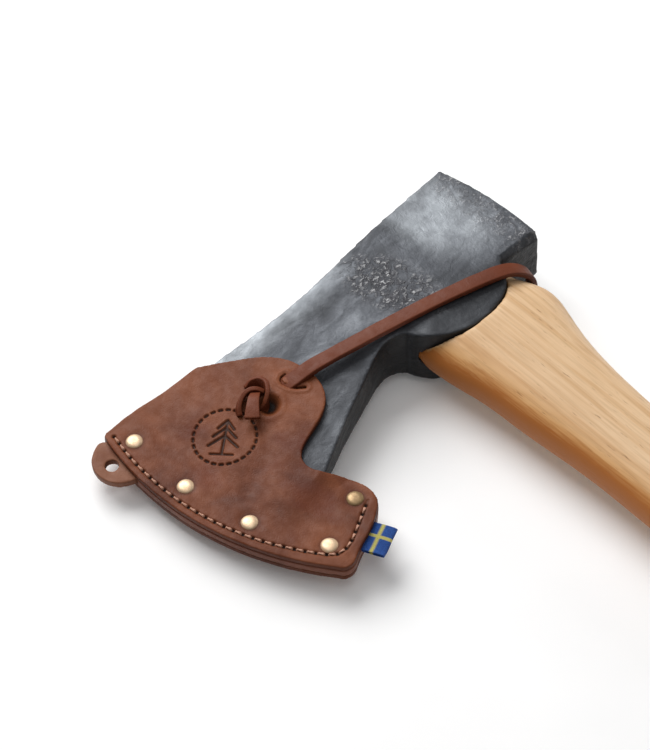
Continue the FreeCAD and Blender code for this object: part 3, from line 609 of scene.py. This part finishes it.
def make_head(material):
    """The forged head: hammered cheeks, pitted mid cheek, edges knocked round."""
    head = copy_of("axe_head", "forged_head")
    remesh(head, HEAD_VOXEL, 3)
    points = read_points(head)
    normals = read_normals(head)
    c, s = math.cos(PITTED_TURN), math.sin(PITTED_TURN)
    dx, dy = points[:, 0] - PITTED_AT[0], points[:, 1] - PITTED_AT[1]
    u = (dx * c + dy * s) / PITTED_HALF[0]
    v = (-dx * s + dy * c) / PITTED_HALF[1]
    patch = 1.0 - smoothstep(0.55, 1.15, np.hypot(u, v))
    patch = np.maximum(patch, 0.6 * smoothstep(26.0, 44.0, points[:, 1]))
    outside = np.abs(normals[:, 2]) > 0.5
    hammer = HAMMER_DEPTH * rough_noise(points, 19.0, 1, 2)
    pits = np.minimum(0.0, rough_noise(points, 3.0, 2) - 0.05) * PIT_DEPTH * patch * outside
    worn = smoothstep(0.25, 0.75, 1.0 - np.max(np.abs(normals), axis=1))
    points = points + normals * (hammer + pits)[:, None]
    write_points(head, points)
    # painted sheen: lighter along the head's top line towards the edge and round the poll's corner,
    # broken up by noise
    painted_sheen_top_line = smoothstep(-9.0, -22.0, points[:, 0]) * smoothstep(-10.0, -35.0, points[:, 1])
    u = (points[:, 0] - SHEEN_AT[0]) / SHEEN_HALF[0]
    v = (points[:, 1] - SHEEN_AT[1]) / SHEEN_HALF[1]
    corner = 1.0 - smoothstep(0.2, 1.0, np.hypot(u, v))
    cloudy = 0.70 + 0.45 * rough_noise(points, 11.0, 5, 3)
    store(head, "sheen", np.clip(np.maximum(painted_sheen_top_line, 0.88 * corner) * cloudy, 0.0, 1.0))
    # painted shade: weight for faces sloping away from the light, the lugs and the cheek towards the heel
    sloping = smoothstep(0.35, 0.80, 1.0 - np.abs(normals[:, 2]))
    steep = sloping * smoothstep(0.15, 0.50, normals[:, 0])
    lugs = 0.60 * smoothstep(20.0, 30.0, points[:, 0]) * smoothstep(-40.0, -26.0, points[:, 1])
    heel = 0.30 * smoothstep(6.0, 18.0, points[:, 0]) * smoothstep(-40.0, -58.0, points[:, 1])
    store(head, "painted_shade", np.clip(np.maximum(np.maximum(steep, lugs), heel), 0.0, 1.0))
    store(head, "patch", patch)
    store(head, "worn", worn * smoothstep(0.3, 0.9, rough_noise(points, 6.0, 3) + 0.5) * 0.6)
    give(head, material, "forged_steel", "axe", "axe_head")
    return head


def make_handle(material):
    """The ash handle, edges eased by hand, with painted shade on its lower side."""
    handle = copy_of("handle", "ash_handle")
    remesh(handle, HANDLE_VOXEL, 4)
    points = read_points(handle)
    normals = read_normals(handle)
    points = points + normals * (0.10 * rough_noise(points, 24.0, 4, 2))[:, None]
    write_points(handle, points)
    # painted shade: weight grows on faces turned to the lower side
    store(handle, "painted_side_shade", np.clip(-normals[:, 1], 0.0, 1.0))
    give(handle, material, "ash_wood", "axe", "handle")
    return handle


def dress(node, material):
    """A new material on a CAD node that keeps its shape."""
    mesh = NODES[node].data
    mesh.materials.clear()
    mesh.materials.append(material)


# ---------------------------------------------------------------- sheath


LEATHER = 2.6
SHEATH_VOXEL = 0.36
LAYER_VOXEL = 0.4
PLUG_R = 5.7
# how far the leather's inner face stands from the middle plane, along the blade
HUG = [(-124.0, 1.75), (-116.0, 3.0), (-105.0, 4.0), (-96.0, 4.75), (-80.0, 6.45), (-60.0, 8.95)]
BORDER_TOP = HUG[0][1] + LEATHER  # height of the outer face along the stitched border
STITCH_LINE = catmull(
    [
        (-25.0, -141.2), (-10.4, -143.6), (9.6, -144.0), (24.6, -142.2), (39.6, -138.6),
        (54.6, -132.8), (69.6, -124.2), (75.6, -120.0), (78.9, -117.0), (80.2, -113.6),
        (79.2, -108.4), (75.2, -100.6), (71.4, -93.6), (69.6, -90.4),
    ],
    4,
)
STITCH_PITCH = 4.3
EMBLEM = (7.8, -110.5)
EMBLEM_R = 12.9
DASHES = 26
HALF_DASH = 0.55
MARK_DEPTH = 0.75
STROKE_DEPTH = 0.72
KNOT_BACK = 13.8
RIVETS = [(-17.3, -137.0), (13.8, -136.9), (44.5, -130.4), (74.4, -115.5), (65.4, -93.2)]
DULL_RIVET = 5
SLIT = [
    (4.0, -74.0), (3.9, -75.6), (4.8, -77.0), (6.8, -77.6), (9.4, -77.0), (12.2, -75.2),
    (14.6, -72.6),
]
KNOT_WELL = (9.9, -88.2)
WELL_DEPTH = 1.8
# each crease: its line, how wide it is and how deep
CREASES = [
    ([(14.0, -90.0), (26.0, -104.0), (34.0, -120.0)], 5.0, 0.55),
    ([(-12.0, -92.0), (-16.0, -110.0), (-14.0, -126.0)], 6.0, 0.30),
    ([(40.0, -100.0), (52.0, -108.0), (64.0, -106.0)], 4.5, 0.35),
]


def strap_point(along, aside=0.0, z=0.0):
    """A point given along the strap from its exit, to its right side, and up."""
    s, c = math.sin(STRAP_LEAN), math.cos(STRAP_LEAN)
    return (STRAP_EXIT[0] + along * s + aside * c, STRAP_EXIT[1] + along * c - aside * s, z)


def leather_top(y):
    """Height of the sheath's outer face above the middle plane."""
    return float(np.interp(y, *zip(*HUG))) + LEATHER


def plug(name, centre, radius, side):
    """A round piece of leather that fills one of the holes cut for the strap's motion."""
    rings = []
    corners = 24
    for level in (-2.3, -0.1):
        ring = []
        for k in range(corners):
            angle = 2 * math.pi * k / corners
            x = centre[0] + radius * math.cos(angle)
            y = centre[1] + radius * math.sin(angle)
            ring.append((x, y, side * (leather_top(y) + level)))
        rings.append(np.array(ring if side > 0 else ring[::-1]))
    return loft(name, rings)


def stroke_depth(points, line, half_width, depth):
    """A pressed stroke along a line: flat in the middle, with soft sides."""
    gap, _ = polyline_distance(points, line)
    return depth * (1.0 - smoothstep(half_width * 0.55, half_width * 1.35, gap))


def emblem_depth(points):
    """Pressed mark: a ring of short dashes round a plain fir tree."""
    cx, cy = EMBLEM
    dx, dy = points[:, 0] - cx, points[:, 1] - cy
    radius = np.hypot(dx, dy)
    angle = np.arctan2(dy, dx)
    pitch = 2 * math.pi * EMBLEM_R / DASHES
    turn = np.abs(((angle / (2 * math.pi) * DASHES) % 1.0) - 0.5) * pitch
    gap = np.hypot(np.maximum(turn - HALF_DASH, 0.0), radius - EMBLEM_R)
    depth = MARK_DEPTH * (1.0 - smoothstep(0.32, 0.80, gap))
    up = np.array([-0.62, 0.785])
    right = np.array([0.785, 0.62])
    for tier, (top, spread) in enumerate(((7.8, 3.3), (4.4, 4.7), (0.6, 6.0))):
        drop = 4.0 + 0.5 * tier
        for side in (-1, 1):
            line = [(cx, cy) + up * top, (cx, cy) + up * (top - drop) + right * side * spread]
            depth = np.maximum(depth, stroke_depth(points, line, 0.60, STROKE_DEPTH))
    trunk = [(cx, cy) + up * 6.5, (cx, cy) - up * 8.0]
    depth = np.maximum(depth, stroke_depth(points, trunk, 0.60, STROKE_DEPTH))
    ground = [(cx, cy) - up * 8.2 - right * 4.6, (cx, cy) - up * 8.2 + right * 4.6]
    return np.maximum(depth, stroke_depth(points, ground, 0.50, 0.65))


def shape_leather(points, normals):
    """How far each point of the sheath moves along its normal, and the painted shade that goes with it in
    the hollows.
    """
    front = (normals[:, 2] > 0.25) & (points[:, 2] > 0.6)
    back = (normals[:, 2] < -0.25) & (points[:, 2] < -0.6)
    outer = front | back
    lift = np.zeros(len(points))
    recess_shade = np.zeros(len(points))

    stitched, along = polyline_distance(points, STITCH_LINE)
    groove = 0.42 * np.exp(-((stitched / 0.75) ** 2))
    phase = np.abs((along / STITCH_PITCH + 0.5) % 1.0 - 0.5) * STITCH_PITCH
    holes = 0.80 * np.exp(-((np.hypot(stitched, phase) / 0.70) ** 2))
    lift -= (groove + holes) * outer
    # painted shade in the groove and the stitch holes
    recess_shade += (0.35 * np.exp(-((stitched / 0.55) ** 2)) + holes / 0.6) * outer

    for x, y in RIVETS:
        far = np.hypot(points[:, 0] - x, points[:, 1] - y)
        pressed = 0.35 * np.exp(-((far / 4.2) ** 2))
        puffed = 0.16 * np.exp(-(((far - 6.8) / 2.2) ** 2))
        lift += (puffed - pressed) * outer
        # painted shade in a ring at the foot of each cap
        recess_shade += 0.30 * np.exp(-(((far - 3.8) / 0.7) ** 2)) * outer

    mark = emblem_depth(points) * front
    lift -= mark
    # painted shade in the pressed mark's lines
    recess_shade += mark * 1.15

    slit = stroke_depth(points, SLIT, 0.50, 1.7)
    lift -= slit * outer
    # painted shade in the slit
    recess_shade += slit * 0.75 * outer
    rim, _ = polyline_distance(points, SLIT)
    lift += 0.35 * np.exp(-(((rim - 2.0) / 0.9) ** 2)) * outer
    far = np.hypot(points[:, 0] - KNOT_WELL[0], points[:, 1] - KNOT_WELL[1])
    lift -= WELL_DEPTH * (1.0 - smoothstep(1.8, 5.2, far)) * outer
    lift += 0.5 * np.exp(-(((far - 6.0) / 1.6) ** 2)) * outer
    # painted shadow in the knot's well
    recess_shade += 1.0 * (1.0 - smoothstep(1.4, 4.8, far)) * outer

    calm = smoothstep(1.0, 14.0, stitched)
    waves = 0.40 * rough_noise(points, 22.0, 6, 2) + 0.08 * rough_noise(points, 7.0, 7, 2)
    for line, wide, deep in CREASES:
        gap, _ = polyline_distance(points, line)
        waves -= deep * np.exp(-((gap / wide) ** 2))
    lift += waves * (0.12 + 0.88 * calm) * np.abs(normals[:, 2])
    lift += 0.55 * rough_noise(points, 15.0, 12, 2) * smoothstep(-21.0, -28.0, points[:, 0])
    return lift, np.clip(recess_shade, 0.0, 1.0)


# the sheath's cut edge, from the foot of the fold round the border and back to its top
OUTLINE = [
    (-29.0, -143.8), (-10.0, -147.8), (10.0, -148.4), (30.0, -145.8), (50.0, -139.4),
    (70.0, -129.4), (84.2, -120.0), (87.0, -115.4), (84.4, -109.2), (81.0, -101.0),
    (77.0, -93.5), (72.0, -87.0), (62.5, -86.4), (52.0, -91.6), (44.0, -96.6),
    (37.5, -95.8), (33.0, -89.0), (30.0, -79.5), (25.0, -71.0), (17.5, -66.8),
    (8.0, -66.2), (-1.0, -68.4), (-11.0, -75.8), (-18.6, -85.4), (-24.4, -92.6),
]


def outline_distance(points):
    """Distance to the sheath's cut edge, the fold left out."""
    return polyline_distance(points, OUTLINE)[0]


def make_leather(material):
    """The folded sheath: soft waves, stitch groove, pressed mark, dimples round the rivets."""
    sheath = copy_of("sheath_leather", "sheath_body")
    pieces = [sheath]
    knot_hole = strap_point(-KNOT_BACK)
    for side in (1, -1):
        pieces.append(plug(f"plug_exit_{side + 1}", STRAP_EXIT, PLUG_R, side))
        pieces.append(plug(f"plug_knot_{side + 1}", knot_hole, PLUG_R, side))
    sheath = join(pieces, "sheath_body")
    remesh(sheath, SHEATH_VOXEL, 10)
    points = read_points(sheath)
    normals = read_normals(sheath)
    inside = smoothstep(3.0, 8.0, outline_distance(points)) * smoothstep(-22.0, -15.0, points[:, 0])
    for side in (1, -1):
        face = (normals[:, 2] * side > 0.25) & (points[:, 2] * side > 0.6)
        points[:, 2] += blurred_offset(points, face, 0.7, 2.8) * inside
    pull = smoothstep(-132.0, -112.0, points[:, 1]) * smoothstep(-20.0, -29.0, points[:, 0])
    points[:, 0] += 1.2 * pull
    write_points(sheath, points)
    points = read_points(sheath)
    normals = read_normals(sheath)
    moved, recess_shade = shape_leather(points, normals)
    points = points + normals * moved[:, None]
    write_points(sheath, points)
    # painted highlight on the rounded fold and on the tongue
    fold = 1.0 - smoothstep(-30.0, -8.0, points[:, 0])
    tongue = smoothstep(-92.0, -72.0, points[:, 1])
    store(sheath, "recess_shade", recess_shade)
    store(sheath, "lift", np.clip(0.45 * fold + 0.30 * tongue, 0.0, 1.0))
    store(sheath, "edge", 1.0 - smoothstep(0.25, 0.75, np.abs(normals[:, 2])))
    give(sheath, material, "sheath_leather", "sheath", "sheath_leather")
    return sheath


def make_layer(node, name, material, slot, edge, outset):
    """A welt or tab: the CAD shape with its cut edges rubbed round."""
    piece = copy_of(node, name)
    remesh(piece, LAYER_VOXEL, 8)
    points = read_points(piece)
    normals = read_normals(piece)
    grown = outset * (1.0 - smoothstep(0.3, 0.8, np.abs(normals[:, 2])))
    points = points + normals * (grown + 0.07 * rough_noise(points, 5.0, 9, 2))[:, None]
    write_points(piece, points)
    store(piece, "recess_shade", np.zeros(len(points)))
    store(piece, "lift", np.zeros(len(points)))
    store(piece, "edge", edge * (1.0 - smoothstep(0.3, 0.8, np.abs(normals[:, 2]))))
    give(piece, material, slot, "sheath", node)
    return piece


def surface_of(obj):
    """Finds the outer face of a piece above or below a place, in the axe's frame."""
    points = read_points(obj)
    faces = [tuple(p.vertices) for p in obj.data.polygons]
    tree = BVHTree.FromPolygons([tuple(p) for p in points], faces)

    def height(x, y, side, fallback):
        hit = tree.ray_cast(Vector((x, y, side * 60.0)), Vector((0, 0, -side)))[0]
        return hit.z if hit is not None else fallback

    return height


def stitch_centres():
    """Start and end of every stitch along the border, round the heel corner and up the side."""
    line = even_points(STITCH_LINE, 0.2)
    steps = np.r_[0.0, np.cumsum(np.linalg.norm(np.diff(line, axis=0), axis=1))]
    count = int(steps[-1] / STITCH_PITCH)
    at = np.arange(count + 1) * STITCH_PITCH
    return np.stack([np.interp(at, steps, line[:, k]) for k in range(2)], 1)


STITCH_STEPS = 12
STRAND_SIDES = 7
STRAND_R = 0.36
TWIST_R = 0.24


def twisted_stitch(name, a, b, side, height):
    """One stitch: two strands twisted together, diving into the leather at both ends."""
    strands = []
    across = unit(np.array([-(b - a)[1], (b - a)[0]]))
    for strand in (0, 1):
        rings = []
        for k in range(STITCH_STEPS + 1):
            t = k / STITCH_STEPS
            spot = a + (b - a) * (0.09 + 0.82 * t)
            dive = (2 * t - 1) ** 4
            z = height(spot[0], spot[1], side, side * BORDER_TOP)
            lifted = side * (0.30 - 0.95 * dive)
            turn = 2 * math.pi * (0.55 * t + 0.5 * strand) + 0.6
            middle = np.array([*(spot + across * TWIST_R * math.cos(turn)), 0.0])
            middle[2] = z + lifted + 0.20 * math.sin(turn)
            radius = STRAND_R * (1.0 - 0.35 * dive)
            ahead = np.array([*unit(b - a), 0.0])
            wide = np.array([*across, 0.0])
            up = np.cross(ahead, wide)
            ring = [
                middle + radius * (math.cos(w) * wide + math.sin(w) * up)
                for w in np.arange(STRAND_SIDES) * 2 * math.pi / STRAND_SIDES
            ]
            rings.append(np.array(ring))
        strands.append(loft(f"{name}_{strand}", rings))
    return strands


def make_stitching(material, height):
    """Every stitch on both faces of the sheath, as one piece of thread."""
    ends = stitch_centres()
    pieces = []
    for side in (1, -1):
        for n, (a, b) in enumerate(zip(ends[:-1], ends[1:])):
            pieces += twisted_stitch(f"stitch_{side + 1}_{n}", a, b, side, height)
    thread = join(pieces, "saddle_stitching")
    give(thread, material, "linen_thread", "sheath", "stitching")


# a cap's section from near its top to near the middle of its foot: radius and height
DOME = [
    (0.9, 1.14), (1.7, 1.06), (2.4, 0.90), (2.95, 0.66), (3.3, 0.36),
    (3.50, 0.06), (3.52, -0.20), (3.40, -0.42), (2.4, -0.55),
]
CAP_SIDES = 32
SEAT_R = 4.4
SUNK = 0.12


def make_rivet(number, material, height):
    """A domed cap set a little into the leather on each face."""
    x, y = RIVETS[number - 1]
    pieces = []
    for side in (1, -1):
        seat = side * np.median(
            [
                side * height(x + SEAT_R * math.cos(a), y + SEAT_R * math.sin(a), side, side * BORDER_TOP)
                for a in np.arange(12) * math.pi / 6
            ]
        )
        rings = []
        for radius, up in DOME:
            angles = np.arange(CAP_SIDES) * 2 * math.pi / CAP_SIDES
            wobble = 1.0 + 0.012 * np.sin(3 * angles + number)
            ring_x = x + radius * wobble * np.cos(angles * side)
            ring_y = y + radius * wobble * np.sin(angles * side)
            ring_z = np.full(CAP_SIDES, seat + side * (up - SUNK))
            rings.append(np.stack([ring_x, ring_y, ring_z], 1))
        pieces.append(loft(f"dome_{number}_{side + 1}", rings[::-1]))
    cap = join(pieces, f"rivet_dome_{number}")
    store(cap, "dull", np.full(len(cap.data.vertices), 1.0 if number == DULL_RIVET else 0.0))
    give(cap, material, "brass", "sheath", f"rivet_cap_{number}")


# ---------------------------------------------------------------- strap


STRAP_WIDTH = 6.5
STRAP_THICK = 2.5
BOW = -3.4  # how far the lower run lies aside, clear of the lug


def strap_run():
    """The strap's middle line from the upper exit, over the poll's corner, to the lower exit."""
    upper = [
        (-6.6, 6.4), (-3.8, 8.5), (0.0, 9.9), (4.0, 11.4), (9.0, 12.8), (18.0, 13.9),
        (32.0, 15.4), (50.0, 17.0), (66.0, 17.9), (84.0, 17.9), (94.0, 17.1), (100.3, 15.6),
        (104.8, 12.9), (108.3, 9.6), (110.7, 6.0), (111.8, 2.0),
    ]
    return upper + [(t, -z) for t, z in reversed(upper)]


def make_strap(material):
    """The flat strap and, on each face, its knot: a loop standing up and a cut tail."""
    run = even_points(catmull(strap_run(), 8), 1.3)
    stretch = np.clip((run[:, 0] - 10.0) / 88.0, 0.0, 1.0)
    bow = BOW * np.sin(math.pi * stretch) * (run[:, 1] < 0)
    path = np.array([strap_point(t, aside, z) for (t, z), aside in zip(run, bow)])
    across = np.array(strap_point(0, 1)) - np.array(strap_point(0, 0))
    tilt = np.interp(run[:, 0], (0.0, 30.0, 90.0), (0.10, 0.05, 0.0))
    sides = np.tile(across, (len(path), 1))
    sides[:, 2] += tilt * np.sign(run[:, 1])
    wide = np.interp(run[:, 0], (0.0, 16.0), (1.14, 1.0))
    band = sweep_band("strap_band", path, sides, STRAP_WIDTH, STRAP_THICK, 0.55, wide)
    finish_strap_piece(band, material, "strap", "strap")
    for side, name in ((1, "upper_knot"), (-1, "lower_knot")):
        finish_strap_piece(join(knot_pieces(side), name), material, "sheath")


def finish_strap_piece(piece, material, body, *replaced):
    """The leather's slight waviness, painted light on its flat faces, and nothing below the floor."""
    points = read_points(piece)
    normals = read_normals(piece)
    points = points + normals * (0.12 * rough_noise(points, 7.0, 11, 2))[:, None]
    laid = to_world(points)
    laid[:, 2] = np.maximum(laid[:, 2], 0.0)
    write_points(piece, to_axe(laid))
    store(piece, "recess_shade", np.zeros(len(points)))
    # painted light: flat faces lighter than the sides
    store(piece, "lift", 0.35 * smoothstep(0.2, 0.8, np.abs(normals[:, 2])))
    store(piece, "edge", 0.55 * (1.0 - smoothstep(0.2, 0.7, np.abs(normals[:, 2]))))
    give(piece, material, "strap_leather", body, *replaced)


# the knot's three bands on the upper face: places along their middle lines
LOOP = [(-2.6, -88.4, 7.6), (-2.0, -86.2, 9.6), (0.4, -84.2, 11.3), (3.6, -84.0, 11.7),
        (6.6, -85.8, 11.2), (8.4, -88.4, 9.2), (8.8, -90.2, 6.6), (8.6, -91.0, 4.4)]
WRAP = [(4.4, -86.6, 9.4), (2.0, -88.6, 10.8), (0.5, -91.6, 10.8), (0.8, -95.0, 9.8),
        (2.6, -98.2, 8.4), (4.6, -99.8, 6.8)]
TAIL = [(2.8, -87.8, 8.6), (4.4, -90.4, 11.6), (6.6, -93.2, 13.0), (9.4, -96.2, 12.6),
        (12.0, -98.8, 11.4)]


def knot_pieces(side):
    """A loop stood on edge, the turn round it and the flat tail, on the face given by side."""
    made = []
    plans = (
        ("loop", LOOP, (-0.10, 0.25, 1.0), 4.6, 1.9, (1.0, 1.0)),
        ("wrap", WRAP, (0.30, 0.10, 1.0), 4.6, 2.0, (1.0, 1.0)),
        ("tail", TAIL, (0.73, 0.68, 0.05), 6.4, 2.4, (0.50, 1.0)),
    )
    for name, line, lean, width, thick, sizes in plans:
        path = even_points(catmull(line, 8), 0.6)
        path[:, 2] *= side
        lean = np.array([lean[0], lean[1], lean[2] * side])
        sides = np.tile(lean, (len(path), 1))
        taper = np.linspace(sizes[0], sizes[1], len(path))
        made.append(sweep_band(f"{name}_{side + 1}", path, sides, width, thick, 0.5, taper))
    return made


# ---------------------------------------------------------------- woven label


LABEL_MID = (79.6, -101.1)
LABEL_TURN = math.radians(24.0)
LABEL_LONG = 13.8
LABEL_OUT = 10.6
LABEL_IN = 5.0
LABEL_Z = 1.25
FOLD_R = 0.55
FOLD_FROM = 0.46  # where the fold starts, as a share of the way round
LABEL_ROWS = 44
LABEL_COLUMNS = 40
CROSS_AT = (0.9, 5.4)
CROSS_HALF = (0.80, 0.75)


def make_label(material):
    """A ribbon folded over into a flat loop, its free side curling up a little."""
    out = np.array([math.cos(LABEL_TURN), math.sin(LABEL_TURN)])
    along = np.array([-out[1], out[0]])
    reach_in = LABEL_OUT + LABEL_IN - FOLD_R
    profile = []
    for k in range(LABEL_ROWS + 1):
        t = k / LABEL_ROWS
        if t < FOLD_FROM:
            profile.append((-LABEL_IN + reach_in * t / FOLD_FROM, FOLD_R))
        elif t > 1.0 - FOLD_FROM:
            back = (t - (1.0 - FOLD_FROM)) / FOLD_FROM
            profile.append((LABEL_OUT - FOLD_R - reach_in * back, -FOLD_R))
        else:
            angle = math.pi * (0.5 - (t - FOLD_FROM) / (1.0 - 2 * FOLD_FROM))
            reach = LABEL_OUT - FOLD_R + FOLD_R * math.cos(angle)
            profile.append((reach, FOLD_R * math.sin(angle)))
    points, uv, cross = [], [], []
    for r, (reach, lift) in enumerate(profile):
        for c in range(LABEL_COLUMNS + 1):
            w = (c / LABEL_COLUMNS - 0.5) * LABEL_LONG
            bow = smoothstep(0.0, LABEL_OUT, np.float64(reach))
            curl = 0.9 * bow * (w / LABEL_LONG * 2) ** 2 + 0.5 * bow * math.sin(w * 0.5 + 0.8)
            puff = 0.30 * bow * math.sin(math.pi * min(max(reach / LABEL_OUT, 0.0), 1.0))
            x, y = np.array(LABEL_MID) + out * reach + along * w
            fine = 0.045 * math.sin(w * 7.0) * math.sin(r * 2.2)
            side = 1.0 if lift >= 0 else -1.0
            points.append((x, y, LABEL_Z + lift + side * (puff + fine) + curl * 0.9))
            uv.append((w * 3.0, reach * 3.0, 0.0))
            upright = abs(w - CROSS_AT[0]) < CROSS_HALF[0]
            level = abs(reach - CROSS_AT[1]) < CROSS_HALF[1]
            cross.append(1.0 if upright or level else 0.0)
    faces = []
    row = LABEL_COLUMNS + 1
    for r in range(LABEL_ROWS):
        for c in range(LABEL_COLUMNS):
            a = r * row + c
            faces.append((a, a + 1, a + row + 1, a + row))
    label = mesh_object("woven_label", points, faces)
    weave = label.data.attributes.new("weave", "FLOAT_VECTOR", "POINT")
    weave.data.foreach_set("vector", np.array(uv, np.float32).ravel())
    store(label, "cross", cross)
    thick = label.modifiers.new("cloth", "SOLIDIFY")
    thick.thickness = 0.35 * MM
    thick.offset = 0.0
    apply_modifiers(label)
    give(label, material, "woven_label", "sheath", "side_label")


# ---------------------------------------------------------------- floor, lights, camera


FLOOR_REACH = 6.0


def make_floor(material):
    """A wide pale floor under the axe, part of the stage and not of the object."""
    mesh = bpy.data.meshes.new("floor")
    r = FLOOR_REACH
    corners = [(-r, -r, 0), (r, -r, 0), (r, r, 0), (-r, r, 0)]
    mesh.from_pydata(corners, [], [(0, 1, 2, 3)])
    floor = bpy.data.objects.new("floor", mesh)
    bpy.context.scene.collection.objects.link(floor)
    mesh.materials.append(material)


def area_light(name, at, aim, size, power):
    """A white rectangle of light; size in metres, power in watts."""
    data = bpy.data.lights.new(name, "AREA")
    data.shape = "RECTANGLE"
    data.size, data.size_y = size
    data.energy = power
    lamp = bpy.data.objects.new(name, data)
    bpy.context.scene.collection.objects.link(lamp)
    lamp.location = at
    lamp.rotation_euler = (Vector(aim) - Vector(at)).to_track_quat("-Z", "Y").to_euler()


AIM = Vector((SHIFT[0] * MM, SHIFT[1] * MM - 0.0485, 0.0))
AHEAD = Vector((-0.4701, 0.4384, -0.7660)).normalized()
DISTANCE = 1.150
SENSOR = 36.0
LENS = 132.48


def make_camera():
    """A long lens high on the edge's side of the handle, looking down on the head."""
    data = bpy.data.cameras.new("camera")
    data.sensor_fit = "VERTICAL"
    data.sensor_height = SENSOR
    data.lens = LENS
    data.clip_start = 0.05
    data.clip_end = 50.0
    camera = bpy.data.objects.new("camera", data)
    bpy.context.scene.collection.objects.link(camera)
    camera.location = AIM - AHEAD * DISTANCE
    camera.rotation_euler = AHEAD.to_track_quat("-Z", "Y").to_euler()
    bpy.context.scene.camera = camera


KEY_FROM = Vector((-0.66, 0.10, 0.74)).normalized()
TOP_FROM = Vector((0.12, -0.10, 0.98)).normalized()
BACK_FROM = Vector((0.10, 0.90, 0.40)).normalized()
LIT_AT = Vector((-0.30, -0.02, 0.0))
SURROUND = 0.155


def make_lights():
    """Soft light from behind and left of the camera's view, and a pale surround."""
    world = bpy.data.worlds.new("surround")
    world.use_nodes = True
    background = world.node_tree.nodes["Background"]
    background.inputs["Color"].default_value = (1.0, 1.0, 1.0, 1.0)
    background.inputs["Strength"].default_value = SURROUND
    bpy.context.scene.world = world
    area_light("key", LIT_AT + KEY_FROM * 1.9, LIT_AT, (1.5, 1.5), 42.5)
    area_light("top", LIT_AT + TOP_FROM * 1.9, LIT_AT, (1.5, 1.5), 7.0)
    area_light("back", LIT_AT + BACK_FROM * 1.6, LIT_AT, (1.4, 0.5), 3.0)


# ---------------------------------------------------------------- putting it together


def make_axe():
    """The head, the handle and the wedges in the eye."""
    make_head(steel_material())
    ash = wood_material("ash_wood", (0.74, 0.512, 0.308), (0.62, 0.386, 0.200), (0.43, 0.148, 0.036))
    make_handle(ash)
    wedge_wood = wood_material("wedge_wood", (0.60, 0.38, 0.2), (0.42, 0.24, 0.11), (0.4, 0.2, 0.1))
    dress("wood_wedge", wedge_wood)
    dress("steel_wedge", wedge_steel_material())


def make_sheath():
    """The leather, its welt and tab, the thread, the rivets and the label."""
    hide = leather_material(
        "sheath_leather", (0.064, 0.0135, 0.0040), (0.137, 0.0355, 0.0115), (0.250, 0.077, 0.029)
    )
    sheath = make_leather(hide)
    edge = leather_material(
        "welt_leather", (0.110, 0.033, 0.017), (0.175, 0.058, 0.032), (0.25, 0.095, 0.056), (0.35, 0.5)
    )
    make_layer("welt", "sheath_welt", edge, "welt_leather", 0.25, 0.15)
    tab = leather_material(
        "tab_leather", (0.135, 0.046, 0.022), (0.215, 0.083, 0.043), (0.30, 0.135, 0.075)
    )
    make_layer("hang_tab", "round_hang_tab", tab, "tab_leather", 0.8, 0.0)
    height = surface_of(sheath)
    make_stitching(thread_material(), height)
    brass = brass_material()
    for number in range(1, len(RIVETS) + 1):
        make_rivet(number, brass, height)
        dress(f"rivet_post_{number}", brass)
    make_label(woven_material())


def main():
    make_axe()
    make_sheath()
    make_strap(
        leather_material(
            "strap_leather", (0.070, 0.0125, 0.0040), (0.114, 0.0240, 0.0078), (0.172, 0.045, 0.0175)
        )
    )
    make_floor(floor_material())
    make_lights()
    make_camera()
    scene = bpy.context.scene
    scene.view_settings.view_transform = "Standard"
    scene.view_settings.look = "None"
    bpy.context.view_layer.update()


main()
